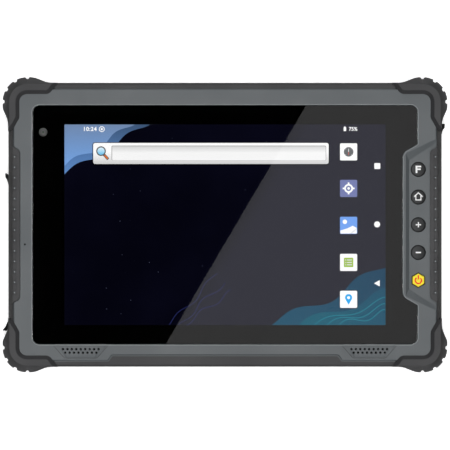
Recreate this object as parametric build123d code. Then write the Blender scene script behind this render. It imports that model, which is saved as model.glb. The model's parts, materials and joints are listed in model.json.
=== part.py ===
from build123d import *
from math import atan, cos, degrees, radians, sin, tan
import os

# Rugged tablet data collector, lying on its back.
# X runs across the screen, Y up the screen and Z out of the screen.
# All sizes are millimetres. The origin is under the middle of the four rear feet.

# Screen and front glass
active_width = 172.2
active_height = 107.6
glass_side_border = 17.1
glass_end_border = 10.3
glass_corner = 3.9
glass_thickness = 1.8
glass_gap = 0.1
border_film = 0.2
film_inset = 0.15
adhesive = 0.3
adhesive_width = 1.5
ledge_width = 2.2
panel_margin_x = 5.9
panel_margin_y = 3.4
panel_thickness = 1.4
backlight_thickness = 1.6
glass_edge = 0.1
notch_depth = 8.0
notch_half = 43.2
notch_angle = 30.0
notch_inner_round = 4.5
notch_outer_round = 0.8
active_corner = 0.3
panel_corner = 0.5
least_round = 0.3

# Grey front bezel
bezel_side_band = 10.3
bezel_end_band = 8.85
bezel_corner = 7.6
bezel_thickness = 4.0
bezel_chamfer = 0.6
bezel_lip = 0.4
lip_chamfer = 0.35
bezel_gap = 0.3

# Dark rails and side grips
rail_side = 2.75
rail_end = 3.2
rail_drop = 0.7
rail_bottom = 14.4
rail_round = 1.6
side_bevel = 2.4
side_bevel_drop = 3.6
pad_width = 3.5
pad_half = 39.4
pad_end_rise = 2.3
pad_round = 2.2
pad_proud = 0.4
pad_thickness = 1.6
stud_count = 14
stud_pitch = 5.6
stud_radius = 0.7
stud_inset = 0.7
stud_proud = 0.2
stud_gap = 0.15
dock_half = 60.7
dock_slant = 2.0
dock_depth = 3.0
dock_round = 1.6

# Rear housing
foot_height = 1.2
body_depth = 19.2
rear_wall = 2.2
rear_chamfer = 1.8
side_wall = 2.4
core_inset = 2.35
gasket_thickness = 0.6
gasket_width = 1.6
gasket_inset = 0.4

# Corner bumpers
bumper_proud = 3.1
bumper_radius = 13.25
bumper_wrap = 9.15
bumper_front = 2.2
bumper_outer_slope = 3.85
bumper_outer_drop = 5.0
bumper_inner_slope = 2.0
bumper_foot_slope = 1.4
bumper_gap = 0.1
flare_round = 12.0
flare_angle_end = 22.0
flare_angle_side = 25.0
flare_run_end = 3.5
flare_run_side = 3.7
wrap_round = 4.0
end_reach = 11.9
end_angle = 53.0
side_reach = 8.8
side_knee_x = 3.3
side_knee_y = 5.7
side_knee_round = 2.4
tread_count = 4
tread_width = 2.4
tread_floor = 1.2
tread_depth = 1.05
side_knee_slope = 0.5

# Keys on the right
key_inset = 9.8
key_pitch = 14.86
key_radius = 3.6
key_gap = 0.45
key_recess = 1.5
key_recess_edge = 1.7
key_ramp = 1.9
key_recess_half = 38.2
key_recess_slope = 27.0
key_floor_half = 34.4
key_floor_slope = 32.0
key_proud = 0.7
key_dome = 0.3
key_flange = 0.5
key_flange_thickness = 0.7
key_play = 0.2
key_travel = 0.5
key_stop = 0.1
power_radius = 3.65
switch_height = 1.5
switch_size = 5.2
key_board_thickness = 1.0
key_board_margin = 4.5
key_board_width = 13.0
key_board_round = 1.0
rib_width = 1.2
rib_inset = 1.0
switch_button = 0.5

# Speakers and microphone
speaker_inset = 25.85
speaker_drop = 7.3
speaker_top = 29.0
speaker_bottom = 17.0
speaker_round = 2.6
speaker_recess = 0.6
speaker_slope = 1.1
hole_pitch = 2.39
hole_radius = 0.5
upper_holes = 9
hole_row_first = 2.6
hole_row_step = 1.9
mesh_thickness = 0.2
speaker_depth = 4.6
speaker_box_width = 30.0
speaker_wall = 1.4
speaker_box_height = 6.4
mesh_inset = 1.0
chamber_depth = 1.0
cone_rise = 0.5
cone_margin = 1.0
mic_inset = 6.2
mic_y = -10.5
mic_radius = 0.5

# Front camera
camera_inset_x = 5.65
camera_inset_y = 14.4
camera_radius = 2.3
camera_body = 6.4
camera_depth = 2.8
camera_nose = 0.8
camera_rim = 0.4
camera_room = 2.0
mic_size = 3.0
mic_height = 1.0

# Chassis plate and boards
plate_thickness = 1.6
plate_edge = 3.4
plate_end = 6.4
plate_gap = 0.8
plate_round = 3.0
frame_post_radius = 1.8
frame_screw_length = 2.4
frame_screw_step = 5.0
frame_screw_y = 36.0
standoff_inset = 4.5
standoff_step = 30.0
standoff_right_inset = 12.4
standoff_low_inset = 6.4
standoff_rise = 2.0
board_bay_gap = 1.0
board_round = 2.0
plate_rim = 1.4
rim_gap = 0.4
post_radius = 2.6
post_inset = 4.4
post_side_inset = 10.5
screw_radius = 1.2
screw_gap = 0.05
screw_head = 2.4
screw_head_depth = 1.0
screw_length = 8.0
screw_end_gap = 0.5
hex_radius = 0.9
hex_depth = 0.75
head_gap = 0.2
board_lift = 2.2
board_thickness = 1.2
board_edge = 2.0
board_top_edge = 7.2
board_strip = 43.0
standoff_radius = 2.2
board_screw_radius = 0.9
board_screw_head = 1.9
board_head_depth = 0.8
board_screw_length = 4.0
shield_height = 2.6
shield_tall = 30.0
shield_wall = 0.3
shield_round = 1.0
shield_inset = 29.4
processor_x = -30.0
processor_shield = 34.0
radio_x = 34.0
radio_shield = 28.0
spreader_size = 26.0
antenna_size = 25.0
antenna_height = 4.0
antenna_inset_x = 31.5
antenna_inset_y = 25.4
antenna_bevel = 0.5

# Battery and its latches
battery_width = 124.0
battery_height = 72.0
battery_depth = 9.0
battery_inset = 52.15
battery_lid = 1.8
battery_step = 1.5
battery_gap = 0.3
bay_wall = 1.4
battery_round = 4.0
seal_thickness = 0.2
connector_width = 18.0
connector_length = 8.0
connector_height = 2.8
seal_width = 0.9
latch_inset = 30.0
latch_travel = 3.0
latch_width = 14.8
latch_length = 7.2
latch_recess = 1.0
latch_gap = 0.3
latch_neck_width = 4.0
latch_neck_length = 4.0
latch_plate = 1.0
latch_plate_width = 10.0
latch_tongue = 2.0
latch_setback = 3.1
latch_lift = 0.2
knob_proud = 0.4
knob_gap = 0.1
knob_margin = 1.0
knob_grooves = 5
knob_groove_width = 0.7
knob_groove_depth = 0.3

# Side ports and their covers
cover_low = 4.4
cover_height = 8.4
cover_gap = 0.2
cover_plate = 2.0
cover_plug = 1.2
plug_margin = 1.0
pocket_depth = 1.4
hinge_gap = 0.3
cover_end_gap = 0.9
cover_round = 1.0
plug_end_gap = 0.4
tab_length = 3.9
tab_thickness = 1.5
tab_margin = 1.8
tab_root = 1.0
tab_taper = 0.7
anchor_length = 6.0
peg_radius = 1.4
peg_length = 2.2
peg_root = 0.4
peg_inset = 2.0
left_hinge_upper = -9.0
left_upper_length = 32.6
left_lower_margin = 12.6
right_hinge = 12.0
right_margin = 15.4
tab_reach_upper = 1.9
tab_reach_lower = 2.7
finger_recess = 6.4
finger_depth = 1.2
shell_thickness = 0.3
shell_gap = 0.2
shell_depth = 9.0
shell_back = 1.0
tongue_margin = 1.4
tongue_thickness = 0.8
tongue_gap = 0.15
pin_radius = 0.65
tray_setback = 0.3
tray_face = 0.6
tray_margin = 0.5
tray_thickness = 0.4
tray_play = 0.4
usb_a_share = 0.705
usb_a_width = 14.0
usb_a_height = 5.6
usb_c_share = 0.215
usb_c_width = 9.0
usb_c_height = 3.2
hdmi_share = 0.183
hdmi_width = 8.0
hdmi_height = 3.4
audio_share = 0.497
audio_width = 6.0
audio_height = 5.0
audio_bore = 1.8
power_share = 0.785
power_width = 7.0
power_height = 5.6
power_bore = 2.5
card_share = 0.495
card_width = 16.0
card_height = 3.0

# Rear fittings
rear_camera_inset_x = 36.25
rear_camera_inset_y = 30.15
rear_camera_radius = 5.0
rear_camera_body = 9.0
rear_camera_height = 5.4
barrel_step = 1.0
flash_step = 14.0
flash_radius = 2.2
flash_flange = 0.8
window_thickness = 1.0
window_gap = 0.15
strap_inset_x = 22.25
strap_inset_y = 24.15
insert_radius = 2.4
insert_bore = 1.5
insert_length = 4.0
boss_wall = 1.6
dock_block_width = 40.0
dock_block_height = 5.6
dock_block_z = 8.0
dock_block_depth = 4.0
dock_block_recess = 0.8
dock_margin_x = 2.0
dock_margin_z = 1.2
contact_count = 8
contact_pitch = 4.2
contact_width = 2.0
contact_height = 3.4
contact_thickness = 0.4
contact_proud = 0.1
vent_x = 0.0
vent_inset = 32.15
vent_radius = 3.0
vent_bore = 1.0
vent_thickness = 0.6
groove_count = 6
groove_pitch = 8.0
groove_width = 2.4
groove_depth = 0.9
groove_length = 32.0
groove_gap = 8.0
plateau_width = 36.0
plateau_height = 18.0
plateau_rise = 0.6
plateau_corner = 5.0

# How far two shapes of one piece lap, how far a cut runs past the surface it opens,
# and the rounding of outline corners that end up inside or outside everything
lap = 0.2
over = 1.0
buried_round = 0.2

# Outlines worked out from the screen outwards
glass_x = active_width / 2 + glass_side_border
glass_y = active_height / 2 + glass_end_border
bezel_x = glass_x + bezel_side_band
bezel_y = glass_y + bezel_end_band
body_x = bezel_x + rail_side
body_y = bezel_y + rail_end
outer_x = body_x + bumper_proud
outer_y = body_y + bumper_proud
corner_x = outer_x - bumper_radius
corner_y = outer_y - bumper_radius
core_x = body_x - core_inset
core_y = body_y - core_inset
core_corner = bumper_radius - bumper_proud - core_inset
cavity_x = core_x - side_wall
cavity_y = core_y - side_wall
cavity_corner = core_corner - side_wall

# Places tied to those outlines
camera_x = -glass_x + camera_inset_x
camera_y = glass_y - camera_inset_y
speaker_x = glass_x - speaker_inset
speaker_y = -glass_y - hole_row_first - hole_row_step / 2
key_x = bezel_x - key_inset
plate_right = key_x - key_board_width / 2 - plate_gap
post_spread = cavity_x - post_side_inset
post_middle = post_spread / 2
shields_y = cavity_y - shield_inset
antenna_x = -cavity_x + antenna_inset_x
antenna_y = cavity_y - antenna_inset_y
battery_y = -body_y + battery_inset
bay_x = battery_width / 2
latch_x = bay_x - latch_inset
groove_x = bay_x + groove_gap + groove_length / 2
rear_camera_x = body_x - rear_camera_inset_x
rear_camera_y = body_y - rear_camera_inset_y
flash_x = rear_camera_x - flash_step
strap_x = body_x - strap_inset_x
strap_y = body_y - strap_inset_y
vent_y = body_y - vent_inset
left_hinge_lower = left_hinge_upper - anchor_length
left_lower_length = corner_y + left_hinge_lower - left_lower_margin
right_length = corner_y - right_hinge - right_margin
socket_mouth = cover_plate + pocket_depth - shell_gap

# Levels, from the feet to the front
rear_face = foot_height
rear_inner = rear_face + rear_wall
camera_face = rear_face - plateau_rise
bezel_front = rear_face + body_depth
bumper_top = bezel_front + bumper_front
bezel_back = bezel_front - bezel_thickness
wall_top = bezel_back - gasket_thickness
glass_front = bezel_front - bezel_lip
glass_back = glass_front - glass_thickness
film_back = glass_back - border_film
ledge_z = film_back - adhesive
panel_back = film_back - panel_thickness
plate_top = panel_back - backlight_thickness
plate_bottom = plate_top - plate_thickness
rail_top = bezel_front - rail_drop
pad_top = bezel_front + pad_proud
pad_floor = pad_top - pad_thickness
key_floor = bezel_front - key_recess
key_top = key_floor + key_proud
key_flange_top = bezel_back - key_play
key_flange_bottom = key_flange_top - key_flange_thickness
switch_top = key_flange_bottom - key_travel - key_stop
key_board_top = switch_top - switch_height
board_bottom = rear_inner + board_lift
board_top = board_bottom + board_thickness
key_board_half = 2 * key_pitch + key_board_margin
corners = [(1, 1), (-1, 1), (-1, -1), (1, -1)]


# Small helpers
def block(x, y, z):
    """Box between two X, two Y and two Z values."""
    middle = Pos((x[0] + x[1]) / 2, (y[0] + y[1]) / 2, (z[0] + z[1]) / 2)
    return middle * Box(abs(x[1] - x[0]), abs(y[1] - y[0]), abs(z[1] - z[0]))


def rod(x, y, low, high, radius):
    """Upright cylinder."""
    return Pos(x, y, (low + high) / 2) * Cylinder(radius, high - low)


def prism(outline, low, high):
    """Upright prism of a flat outline."""
    return extrude(Pos(0, 0, low) * outline.face(), high - low, dir=(0, 0, 1))


def sloped(solid, level, drop, width):
    """The same solid with the rim at its top (level -1) or bottom (level 0) bevelled."""
    return chamfer(solid.edges().group_by(Axis.Z)[level], drop, width)


def rounded_face(points, radii):
    """Closed outline with one rounding radius at each point."""
    return make_face(FilletPolyline(*points, radius=radii, close=True))


def rounded_rectangle(half_x, half_y, radius):
    """Rectangle about the origin with round corners."""
    return RectangleRounded(2 * half_x, 2 * half_y, radius)


def mirrored(shape, side_x, side_y):
    """Copy of a first-quadrant shape in the quadrant of the two signs."""
    if side_x < 0 and side_y < 0:
        return Rot(0, 0, 180) * shape
    if side_x < 0:
        return mirror(shape, Plane.YZ)
    if side_y < 0:
        return mirror(shape, Plane.XZ)
    return shape


# Outlines
def glass_outline(inset):
    """Front glass with its bay for the keys on the right, drawn in by an inset."""
    shift = inset * (1 - sin(radians(notch_angle))) / cos(radians(notch_angle))
    outer = notch_half + shift
    inner = notch_half - notch_depth * tan(radians(notch_angle)) + shift
    right = glass_x - inset
    top = glass_y - inset
    corner = max(glass_corner - inset, least_round)
    knee = max(notch_outer_round - inset, least_round)
    bay = notch_inner_round + inset
    points = [
        (-right, -top), (right, -top), (right, -outer), (right - notch_depth, -inner),
        (right - notch_depth, inner), (right, outer), (right, top), (-right, top),
    ]
    return rounded_face(points, [corner, corner, knee, bay, bay, knee, corner, corner])


def bezel_outline(grow):
    """Outer edge of the grey bezel, with the dock step at the bottom."""
    plate = rounded_rectangle(bezel_x + grow, bezel_y + grow, bezel_corner + grow)
    top = dock_depth - bezel_y - grow
    foot = -bezel_y - 2 * dock_depth
    slope = dock_slant / dock_depth
    half = dock_half - grow
    foot_half = half + slope * (top - foot)
    points = [(-half, top), (-foot_half, foot), (foot_half, foot), (half, top)]
    step = rounded_face(points, [dock_round, buried_round, buried_round, dock_round])
    return plate - step


def corner_zone(grow):
    """Everything outside the inner edge of one corner bumper, first quadrant."""
    far = outer_x + 3 * bumper_radius
    inner_x = outer_x - bumper_wrap
    inner_y = outer_y - bumper_wrap
    end_x = inner_x - (bumper_radius - bumper_wrap) - end_reach
    rise = far - inner_y
    knee_x = inner_x + side_knee_x
    knee_y = corner_y - side_reach - side_knee_y
    far_low = knee_y - side_knee_slope * (far - knee_x)
    points = [
        (inner_x, inner_y), (end_x, inner_y), (end_x - rise / tan(radians(end_angle)), far),
        (far, far), (far, far_low), (knee_x, knee_y), (inner_x, corner_y - side_reach),
    ]
    inner_round = bumper_radius - bumper_wrap
    far_round = 3 * wrap_round
    radii = [inner_round, wrap_round, far_round, far_round, far_round, side_knee_round, wrap_round]
    face = rounded_face(points, radii)
    if grow:
        face = offset(face, amount=grow)
    return face


def silhouette():
    """Plan of one quadrant with its flared corner."""
    flare_end = bumper_proud / tan(radians(flare_angle_end))
    flare_side = bumper_proud / tan(radians(flare_angle_side))
    end_x = corner_x - flare_run_end
    side_y = corner_y - flare_run_side
    points = [
        (over, over), (body_x, over), (body_x, side_y - flare_side), (outer_x, side_y),
        (outer_x, outer_y), (end_x, outer_y), (end_x - flare_end, body_y), (over, body_y),
    ]
    flares = [flare_round, flare_round / 2, bumper_radius, flare_round, flare_round]
    radii = [buried_round, buried_round] + flares + [buried_round]
    return rounded_face(points, radii)


def pad_outline(grow):
    """Grip pad and side rail on the right, with slanted pad ends."""
    inner = bezel_x - pad_width - grow
    half = pad_half + grow
    far = outer_x
    far_half = half + pad_end_rise / pad_width * (far - inner)
    points = [(inner, -half), (far, -far_half), (far, far_half), (inner, half)]
    return rounded_face(points, [pad_round, buried_round, buried_round, pad_round])


def body_prism(low, high, grow=0):
    """Full body between two levels, less the corner zones."""
    solid = prism(rounded_rectangle(body_x + grow, body_y + grow, bumper_radius), low, high)
    for side_x, side_y in corners:
        solid -= mirrored(prism(corner_zone(bumper_gap), low - over, high + over), side_x, side_y)
    return solid


def core_prism(low, high, grow=0):
    """Housing wall line that the bumpers and rails wrap."""
    return prism(rounded_rectangle(core_x + grow, core_y + grow, core_corner + grow), low, high)


# Outer pieces
def corner_bumper(side_x, side_y):
    """Rubber corner with a raised band, sloped edges, cut treads and feet on both faces."""
    wrap = prism(corner_zone(0), 0, bumper_top)
    wrap = sloped(wrap, -1, bumper_front, bumper_inner_slope)
    wrap = sloped(wrap, 0, foot_height, bumper_foot_slope)
    envelope = prism(rounded_rectangle(outer_x, outer_y, bumper_radius), 0, bumper_top)
    envelope = sloped(envelope, -1, bumper_outer_drop, bumper_outer_slope)
    envelope = sloped(envelope, 0, bumper_outer_drop, bumper_outer_slope)
    solid = prism(silhouette(), 0, bumper_top) & wrap & envelope
    solid -= core_prism(rear_face, bezel_front, bumper_gap)
    for index in range(tread_count):
        angle = 90 * index / (tread_count - 1)
        solid -= Pos(corner_x, corner_y, 0) * Rot(0, 0, angle) * tread_cut()
    solid = mirrored(solid, side_x, side_y)
    for cover_side, y, direction, length, _ in covers.values():
        if (cover_side, direction) == (side_x, side_y):
            solid -= beside(cover_side, y, direction, finger_room(length))
    return solid


def tread_cut():
    """Trapezoid groove across the bumper's outer wall."""
    mouth = bumper_radius + over
    floor = bumper_radius - tread_depth
    spread = tread_width / 2 + (tread_width - tread_floor) / 2 / tread_depth
    points = [(floor, -tread_floor / 2), (mouth, -spread), (mouth, spread), (floor, tread_floor / 2)]
    return prism(make_face(Polyline(*points, close=True)), -1, bumper_top + over)


def rail_blank(top):
    """Rubber band round the body above the housing's shoulder, before it is cut to lengths."""
    solid = body_prism(rail_bottom, top)
    return solid - core_prism(rail_bottom - over, bezel_back, bumper_gap)


def side_grip(side_x):
    """Side rail with the wider pad on its front and the holes for the bezel's studs."""
    pad = prism(pad_outline(0), pad_floor, pad_top + 2 * over)
    x_span = (bezel_x - pad_width - over, body_x + over)
    solid = rail_blank(pad_top) & block(x_span, (-corner_y, corner_y), (rail_bottom - over, pad_top + over))
    above_rail = prism(rounded_rectangle(outer_x, outer_y, bumper_radius), rail_top, pad_top + over)
    solid -= above_rail - pad
    bezel_room = prism(bezel_outline(bezel_gap), wall_top, pad_top + over)
    solid -= bezel_room - pad
    foot = pad_top - side_bevel_drop
    bevel = [
        (body_x - side_bevel, pad_top + over), (body_x - side_bevel, pad_top),
        (body_x, foot), (body_x + over, foot), (body_x + over, pad_top + over),
    ]
    profile = Plane.XZ * make_face(Polyline(*bevel, close=True))
    solid -= extrude(profile, outer_y, both=True)
    for y in stud_places():
        solid -= rod(bezel_x - stud_inset, y, pad_floor - over, pad_top + over, stud_radius + stud_gap)
    return mirrored(solid, side_x, 1)


def stud_places():
    """Heights up the screen of the studs along one side."""
    return [stud_pitch * (index - (stud_count - 1) / 2) for index in range(stud_count)]


def end_rail(side_y):
    """Rail along the top or the bottom edge, between the bumpers."""
    y_span = (side_y * (bezel_y - 2 * dock_depth), side_y * (body_y + over))
    band = block((-corner_x, corner_x), y_span, (rail_bottom - over, rail_top + over))
    solid = rail_blank(rail_top) & band
    solid -= prism(bezel_outline(bezel_gap), wall_top, rail_top + over)
    edges = solid.edges().filter_by(Axis.X)
    outer = edges.sort_by(lambda edge: side_y * edge.center().Y + edge.center().Z)[-1]
    return fillet(outer, rail_round)


def post_places():
    """Middle of each screw post, seen from the front."""
    reach = cavity_y - post_inset
    row = (-post_spread, -post_middle, 0, post_middle, post_spread)
    return [(x, side * reach) for side in (1, -1) for x in row]


def key_places():
    """Heights up the screen of the five keys, from the top."""
    return [key_pitch * (2 - index) for index in range(5)]


def power_outline(grow):
    """Six-sided outline of the power key, a corner at the top."""
    return Rot(0, 0, 90) * RegularPolygon(power_radius + grow / cos(radians(30)), 6)


def key_bay():
    """Sunk field round the keys, with ramps at its left and at its ends."""
    far = outer_x
    left = bezel_x - bezel_side_band - notch_depth + key_recess_edge
    rim = far - left
    floor_left = left + key_ramp
    floor = far - floor_left
    rim_end = key_recess_half + rim * tan(radians(key_recess_slope))
    floor_end = key_floor_half + floor * tan(radians(key_floor_slope))
    upper = [(left, -key_recess_half), (far, -rim_end), (far, rim_end), (left, key_recess_half)]
    lower = [(floor_left, -key_floor_half), (far, -floor_end), (far, floor_end), (floor_left, key_floor_half)]
    top = Pos(0, 0, bezel_front) * make_face(Polyline(*upper, close=True))
    bottom = Pos(0, 0, key_floor) * make_face(Polyline(*lower, close=True))
    return loft([bottom, top], ruled=True)


def speaker_bay(side_x):
    """Shallow sunk field round the sound holes, open to the glass."""
    top = -glass_y + 2 * speaker_round
    bottom = -glass_y - speaker_drop
    lean = (speaker_top - speaker_bottom) / 2 / speaker_drop
    half_top = speaker_top / 2 + 2 * lean * speaker_round
    half_bottom = speaker_bottom / 2
    points = [(-half_top, top), (-half_bottom, bottom), (half_bottom, bottom), (half_top, top)]
    outline = rounded_face(points, 4 * [speaker_round])
    field = prism(outline, bezel_front - speaker_recess, bezel_front + over)
    return Pos(side_x * speaker_x, 0, 0) * sloped(field, 0, speaker_recess, speaker_slope)


def sound_holes(side_x, low, high, radius):
    """Two staggered rows of round holes."""
    holes = []
    for row, count in enumerate((upper_holes, upper_holes - 1)):
        y = -glass_y - hole_row_first - row * hole_row_step
        for index in range(count):
            x = side_x * speaker_x + hole_pitch * (index - (count - 1) / 2)
            holes.append(rod(x, y, low, high, radius))
    return holes


def front_bezel():
    """Grey front frame: glass seat, key bay, speaker bays, grip studs and screw posts."""
    solid = prism(bezel_outline(0), bezel_back, bezel_front)
    solid = sloped(solid, -1, bezel_chamfer, bezel_chamfer)
    solid -= prism(glass_outline(0), ledge_z, bezel_front + over)
    solid -= prism(glass_outline(ledge_width), bezel_back - over, bezel_front)
    rim = solid.edges().group_by(Axis.Z)[-1]
    rim = rim.filter_by(lambda edge: abs(edge.center().X) < glass_x + over)
    rim = rim.filter_by(lambda edge: abs(edge.center().Y) < glass_y + over)
    solid = chamfer(rim, lip_chamfer)
    solid -= key_bay()
    for side_x in (1, -1):
        solid -= speaker_bay(side_x)
        solid -= sound_holes(side_x, bezel_back - over, bezel_front + over, hole_radius)
        pad_room = prism(pad_outline(bezel_gap), pad_floor - bezel_gap, bezel_front + over)
        solid -= mirrored(pad_room, side_x, 1)
        x = side_x * (bezel_x - stud_inset)
        stud_root = pad_floor - bezel_gap - lap
        solid += [rod(x, y, stud_root, pad_top + stud_proud, stud_radius) for y in stud_places()]
    for y in key_places()[:4]:
        solid -= rod(key_x, y, bezel_back - over, bezel_front, key_radius + key_gap)
    solid -= Pos(key_x, key_places()[4], 0) * prism(power_outline(key_gap), bezel_back - over, bezel_front)
    solid -= rod(-bezel_x + mic_inset, mic_y, bezel_back - over, bezel_front + over, mic_radius)
    for x, y in post_places():
        solid += rod(x, y, rear_inner, bezel_back, post_radius)
        solid -= rod(x, y, rear_inner - over, rear_inner + screw_length, screw_radius + screw_gap)
    for x, y in frame_places():
        solid += rod(x, y, plate_top, bezel_back, frame_post_radius)
        solid -= rod(x, y, plate_top - over, plate_top + frame_screw_length, board_screw_radius + screw_gap)
    rib_half = key_board_half - rib_width
    for side in (1, -1):
        x = key_x + side * (key_board_width / 2 - rib_inset)
        x_span = (x - rib_width / 2, x + rib_width / 2)
        solid += block(x_span, (-rib_half, rib_half), (key_board_top, bezel_back + lap))
    return solid


def key_cap(index):
    """Domed key with a retaining flange under the bezel."""
    y = key_places()[index]
    place = Pos(key_x, y, 0)
    if index == 4:
        body = prism(power_outline(0), key_flange_bottom, key_top)
        flange = prism(power_outline(key_gap + key_flange), key_flange_bottom, key_flange_top)
        crown = body.edges().group_by(Axis.Z)[-1]
        return place * (chamfer(crown, key_dome) + flange)
    ball = (key_radius ** 2 + key_dome ** 2) / (2 * key_dome)
    body = rod(0, 0, key_flange_bottom, key_top, key_radius) & Pos(0, 0, key_top - ball) * Sphere(ball)
    flange = rod(0, 0, key_flange_bottom, key_flange_top, key_radius + key_gap + key_flange)
    return place * (body + flange)


# Side ports: each cover is drawn with u along the side from its hinge to its free end,
# w outwards from the side face, and is then turned to its place.
covers = {
    "left_upper": (-1, left_hinge_upper, 1, left_upper_length, tab_reach_upper),
    "left_lower": (-1, left_hinge_lower, -1, left_lower_length, tab_reach_lower),
    "right": (1, right_hinge, 1, right_length, tab_reach_upper),
}
cover_z = (cover_low + cover_gap, cover_low + cover_height - cover_gap)
plug_z = (cover_low + plug_margin, cover_low + cover_height - plug_margin)
peg_levels = (cover_z[0] + peg_inset, cover_z[1] - peg_inset)
anchors = {"left_upper": anchor_length, "right": anchor_length / 2}


def beside(side_x, y, direction, shape):
    """Take a piece drawn in u (as Y) and w (as X) to the given side, hinge place and direction."""
    return Pos(side_x * body_x, y, 0) * mirrored(shape, side_x, direction)


def cover_cut(length):
    """Recess for one cover, with its finger room past the free end and its sealing pocket."""
    finger = length + cover_end_gap + tab_thickness
    pocket_span = (plug_margin, length - plug_margin + plug_end_gap)
    recess = block((-cover_plate, over), (-anchor_length / 2, finger), (cover_low, cover_low + cover_height))
    pocket_z = (plug_z[0] - cover_gap, plug_z[1] + cover_gap)
    return recess + block((-cover_plate - pocket_depth, 0), pocket_span, pocket_z)


def finger_room(length):
    """Room through a bumper for the free end of a cover and a fingertip."""
    start = length - finger_recess
    end = length + tab_length + finger_depth
    room_z = (cover_low - cover_gap, cover_low + cover_height + cover_gap)
    return block((-cover_plate - over, bumper_proud + over), (start, end), room_z)


def port_cover(name):
    """Rubber cover: plate, sealing plug and a pull tab at its free end."""
    side_x, y, direction, length, reach = covers[name]
    plate = block((-cover_plate, 0), (hinge_gap, length), cover_z)
    plate = fillet(plate.edges().filter_by(Axis.X).group_by(Axis.Y)[-1], cover_round)
    plug_span = (plug_margin + hinge_gap, length - plug_margin)
    plug = block((-cover_plate - cover_plug, -cover_plate), plug_span, plug_z)
    tip = length + tab_length
    tab = [
        (-cover_plate / 2, length - tab_root), (0, length - 2 * tab_thickness),
        (reach, tip - tab_thickness / 2), (reach - tab_thickness * tab_taper, tip), (-cover_plate / 2, length),
    ]
    tab_z = (cover_z[0] + tab_margin, cover_z[1] - tab_margin)
    lip = prism(make_face(Polyline(*tab, close=True)), *tab_z)
    return beside(side_x, y, direction, plate + plug + lip)


def peg(radius, length, span, z):
    """Peg across the housing wall behind an anchor of the given span."""
    place = Pos(-cover_plate - length / 2, -span / 2, z)
    return place * Rot(0, 90, 0) * Cylinder(radius, length + peg_root)


def cover_anchor(name):
    """Fixed end beside a cover's hinge, held by two pegs in the housing wall."""
    side_x, y, direction = covers[name][:3]
    span = anchors[name]
    base = block((-cover_plate, 0), (-span + cover_gap / 2, -hinge_gap / 3), cover_z)
    base += [peg(peg_radius, peg_length, span, z) for z in peg_levels]
    return beside(side_x, y, direction, base)


def peg_holes(name):
    """Holes for the anchor's pegs through the housing wall."""
    side_x, y, direction = covers[name][:3]
    cut = Part() + [peg(peg_radius + screw_gap, 3 * peg_length, anchors[name], z) for z in peg_levels]
    return beside(side_x, y, direction, cut)


# Sockets: the cover they are behind, their share of its length from the hinge, width and height.
# All stand on the board.
sockets = {
    "usb_a_socket": ("left_upper", usb_a_share, usb_a_width, usb_a_height),
    "usb_c_socket": ("left_upper", usb_c_share, usb_c_width, usb_c_height),
    "hdmi_socket": ("left_lower", hdmi_share, hdmi_width, hdmi_height),
    "audio_socket": ("left_lower", audio_share, audio_width, audio_height),
    "power_socket": ("left_lower", power_share, power_width, power_height),
    "card_socket": ("right", card_share, card_width, card_height),
}
round_sockets = {"audio_socket": audio_bore, "power_socket": power_bore}


def socket_place(name):
    """Side and place up the screen of a socket."""
    cover, share = sockets[name][:2]
    side_x, hinge, direction, length = covers[cover][:4]
    return side_x, hinge + direction * share * length


def socket_box(name, grow, outer, inner):
    """Block of a socket's outline between two depths from the side face."""
    side_x, y = socket_place(name)
    width, height = sockets[name][2:]
    x_span = (side_x * (body_x - outer), side_x * (body_x - inner))
    y_span = (y - width / 2 - grow, y + width / 2 + grow)
    return block(x_span, y_span, (board_top - grow, board_top + height + grow))


def socket_bore(name, radius, outer, inner):
    """Round bar along a socket's middle line between two depths from the side face."""
    side_x, y = socket_place(name)
    x = side_x * (body_x - (outer + inner) / 2)
    z = board_top + sockets[name][3] / 2
    return Pos(x, y, z) * Rot(0, 90, 0) * Cylinder(radius, inner - outer)


def socket(name):
    """Shell with its mouth and tongue, or a block with a round bore and centre pin."""
    side_x, y = socket_place(name)
    width, height = sockets[name][2:]
    back = socket_mouth + shell_depth
    shell = socket_box(name, 0, socket_mouth, back)
    if name in round_sockets:
        shell -= socket_bore(name, round_sockets[name], socket_mouth - over, back - shell_back)
        if name == "power_socket":
            shell += socket_bore(name, pin_radius, socket_mouth + over, back)
        return shell
    shell -= socket_box(name, -shell_thickness, socket_mouth - over, back - shell_back)
    x_span = (side_x * (body_x - socket_mouth - over), side_x * (body_x - back))
    y_span = (y - width / 2 + tongue_margin, y + width / 2 - tongue_margin)
    z = board_top + height / 2
    return shell + block(x_span, y_span, (z - tongue_thickness / 2, z + tongue_thickness / 2))


def card_tray():
    """Card carrier that slides into its socket."""
    y = socket_place("card_socket")[1]
    width, height = sockets["card_socket"][2:]
    outer = body_x - socket_mouth - tray_setback
    inner = outer - tray_face
    end = body_x - socket_mouth - shell_depth + shell_back + tray_play
    y_span = (y - width / 2 + tray_margin, y + width / 2 - tray_margin)
    face = block((inner, outer), y_span, (board_top + tray_margin, board_top + height - tray_margin))
    low = board_top + height / 2 + tongue_thickness / 2 + tongue_gap
    return face + block((end, inner), y_span, (low, low + tray_thickness))


# Battery bay, latches and the housing
bay_top = battery_y + battery_height / 2
bay_bottom = battery_y - battery_height / 2
pack_top = rear_face + battery_depth
bay_ceiling = pack_top + battery_gap
latch_y = bay_top + battery_gap + latch_setback
latch_low = rear_inner + latch_lift
latch_high = latch_low + latch_plate
neck_low = latch_y + (latch_length - latch_neck_length) / 2
neck_high = neck_low + latch_neck_length


def battery_outline(grow):
    """Battery seen from behind."""
    face = rounded_rectangle(bay_x + grow, battery_height / 2 + grow, battery_round + grow)
    return Pos(0, battery_y, 0) * face


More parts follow.
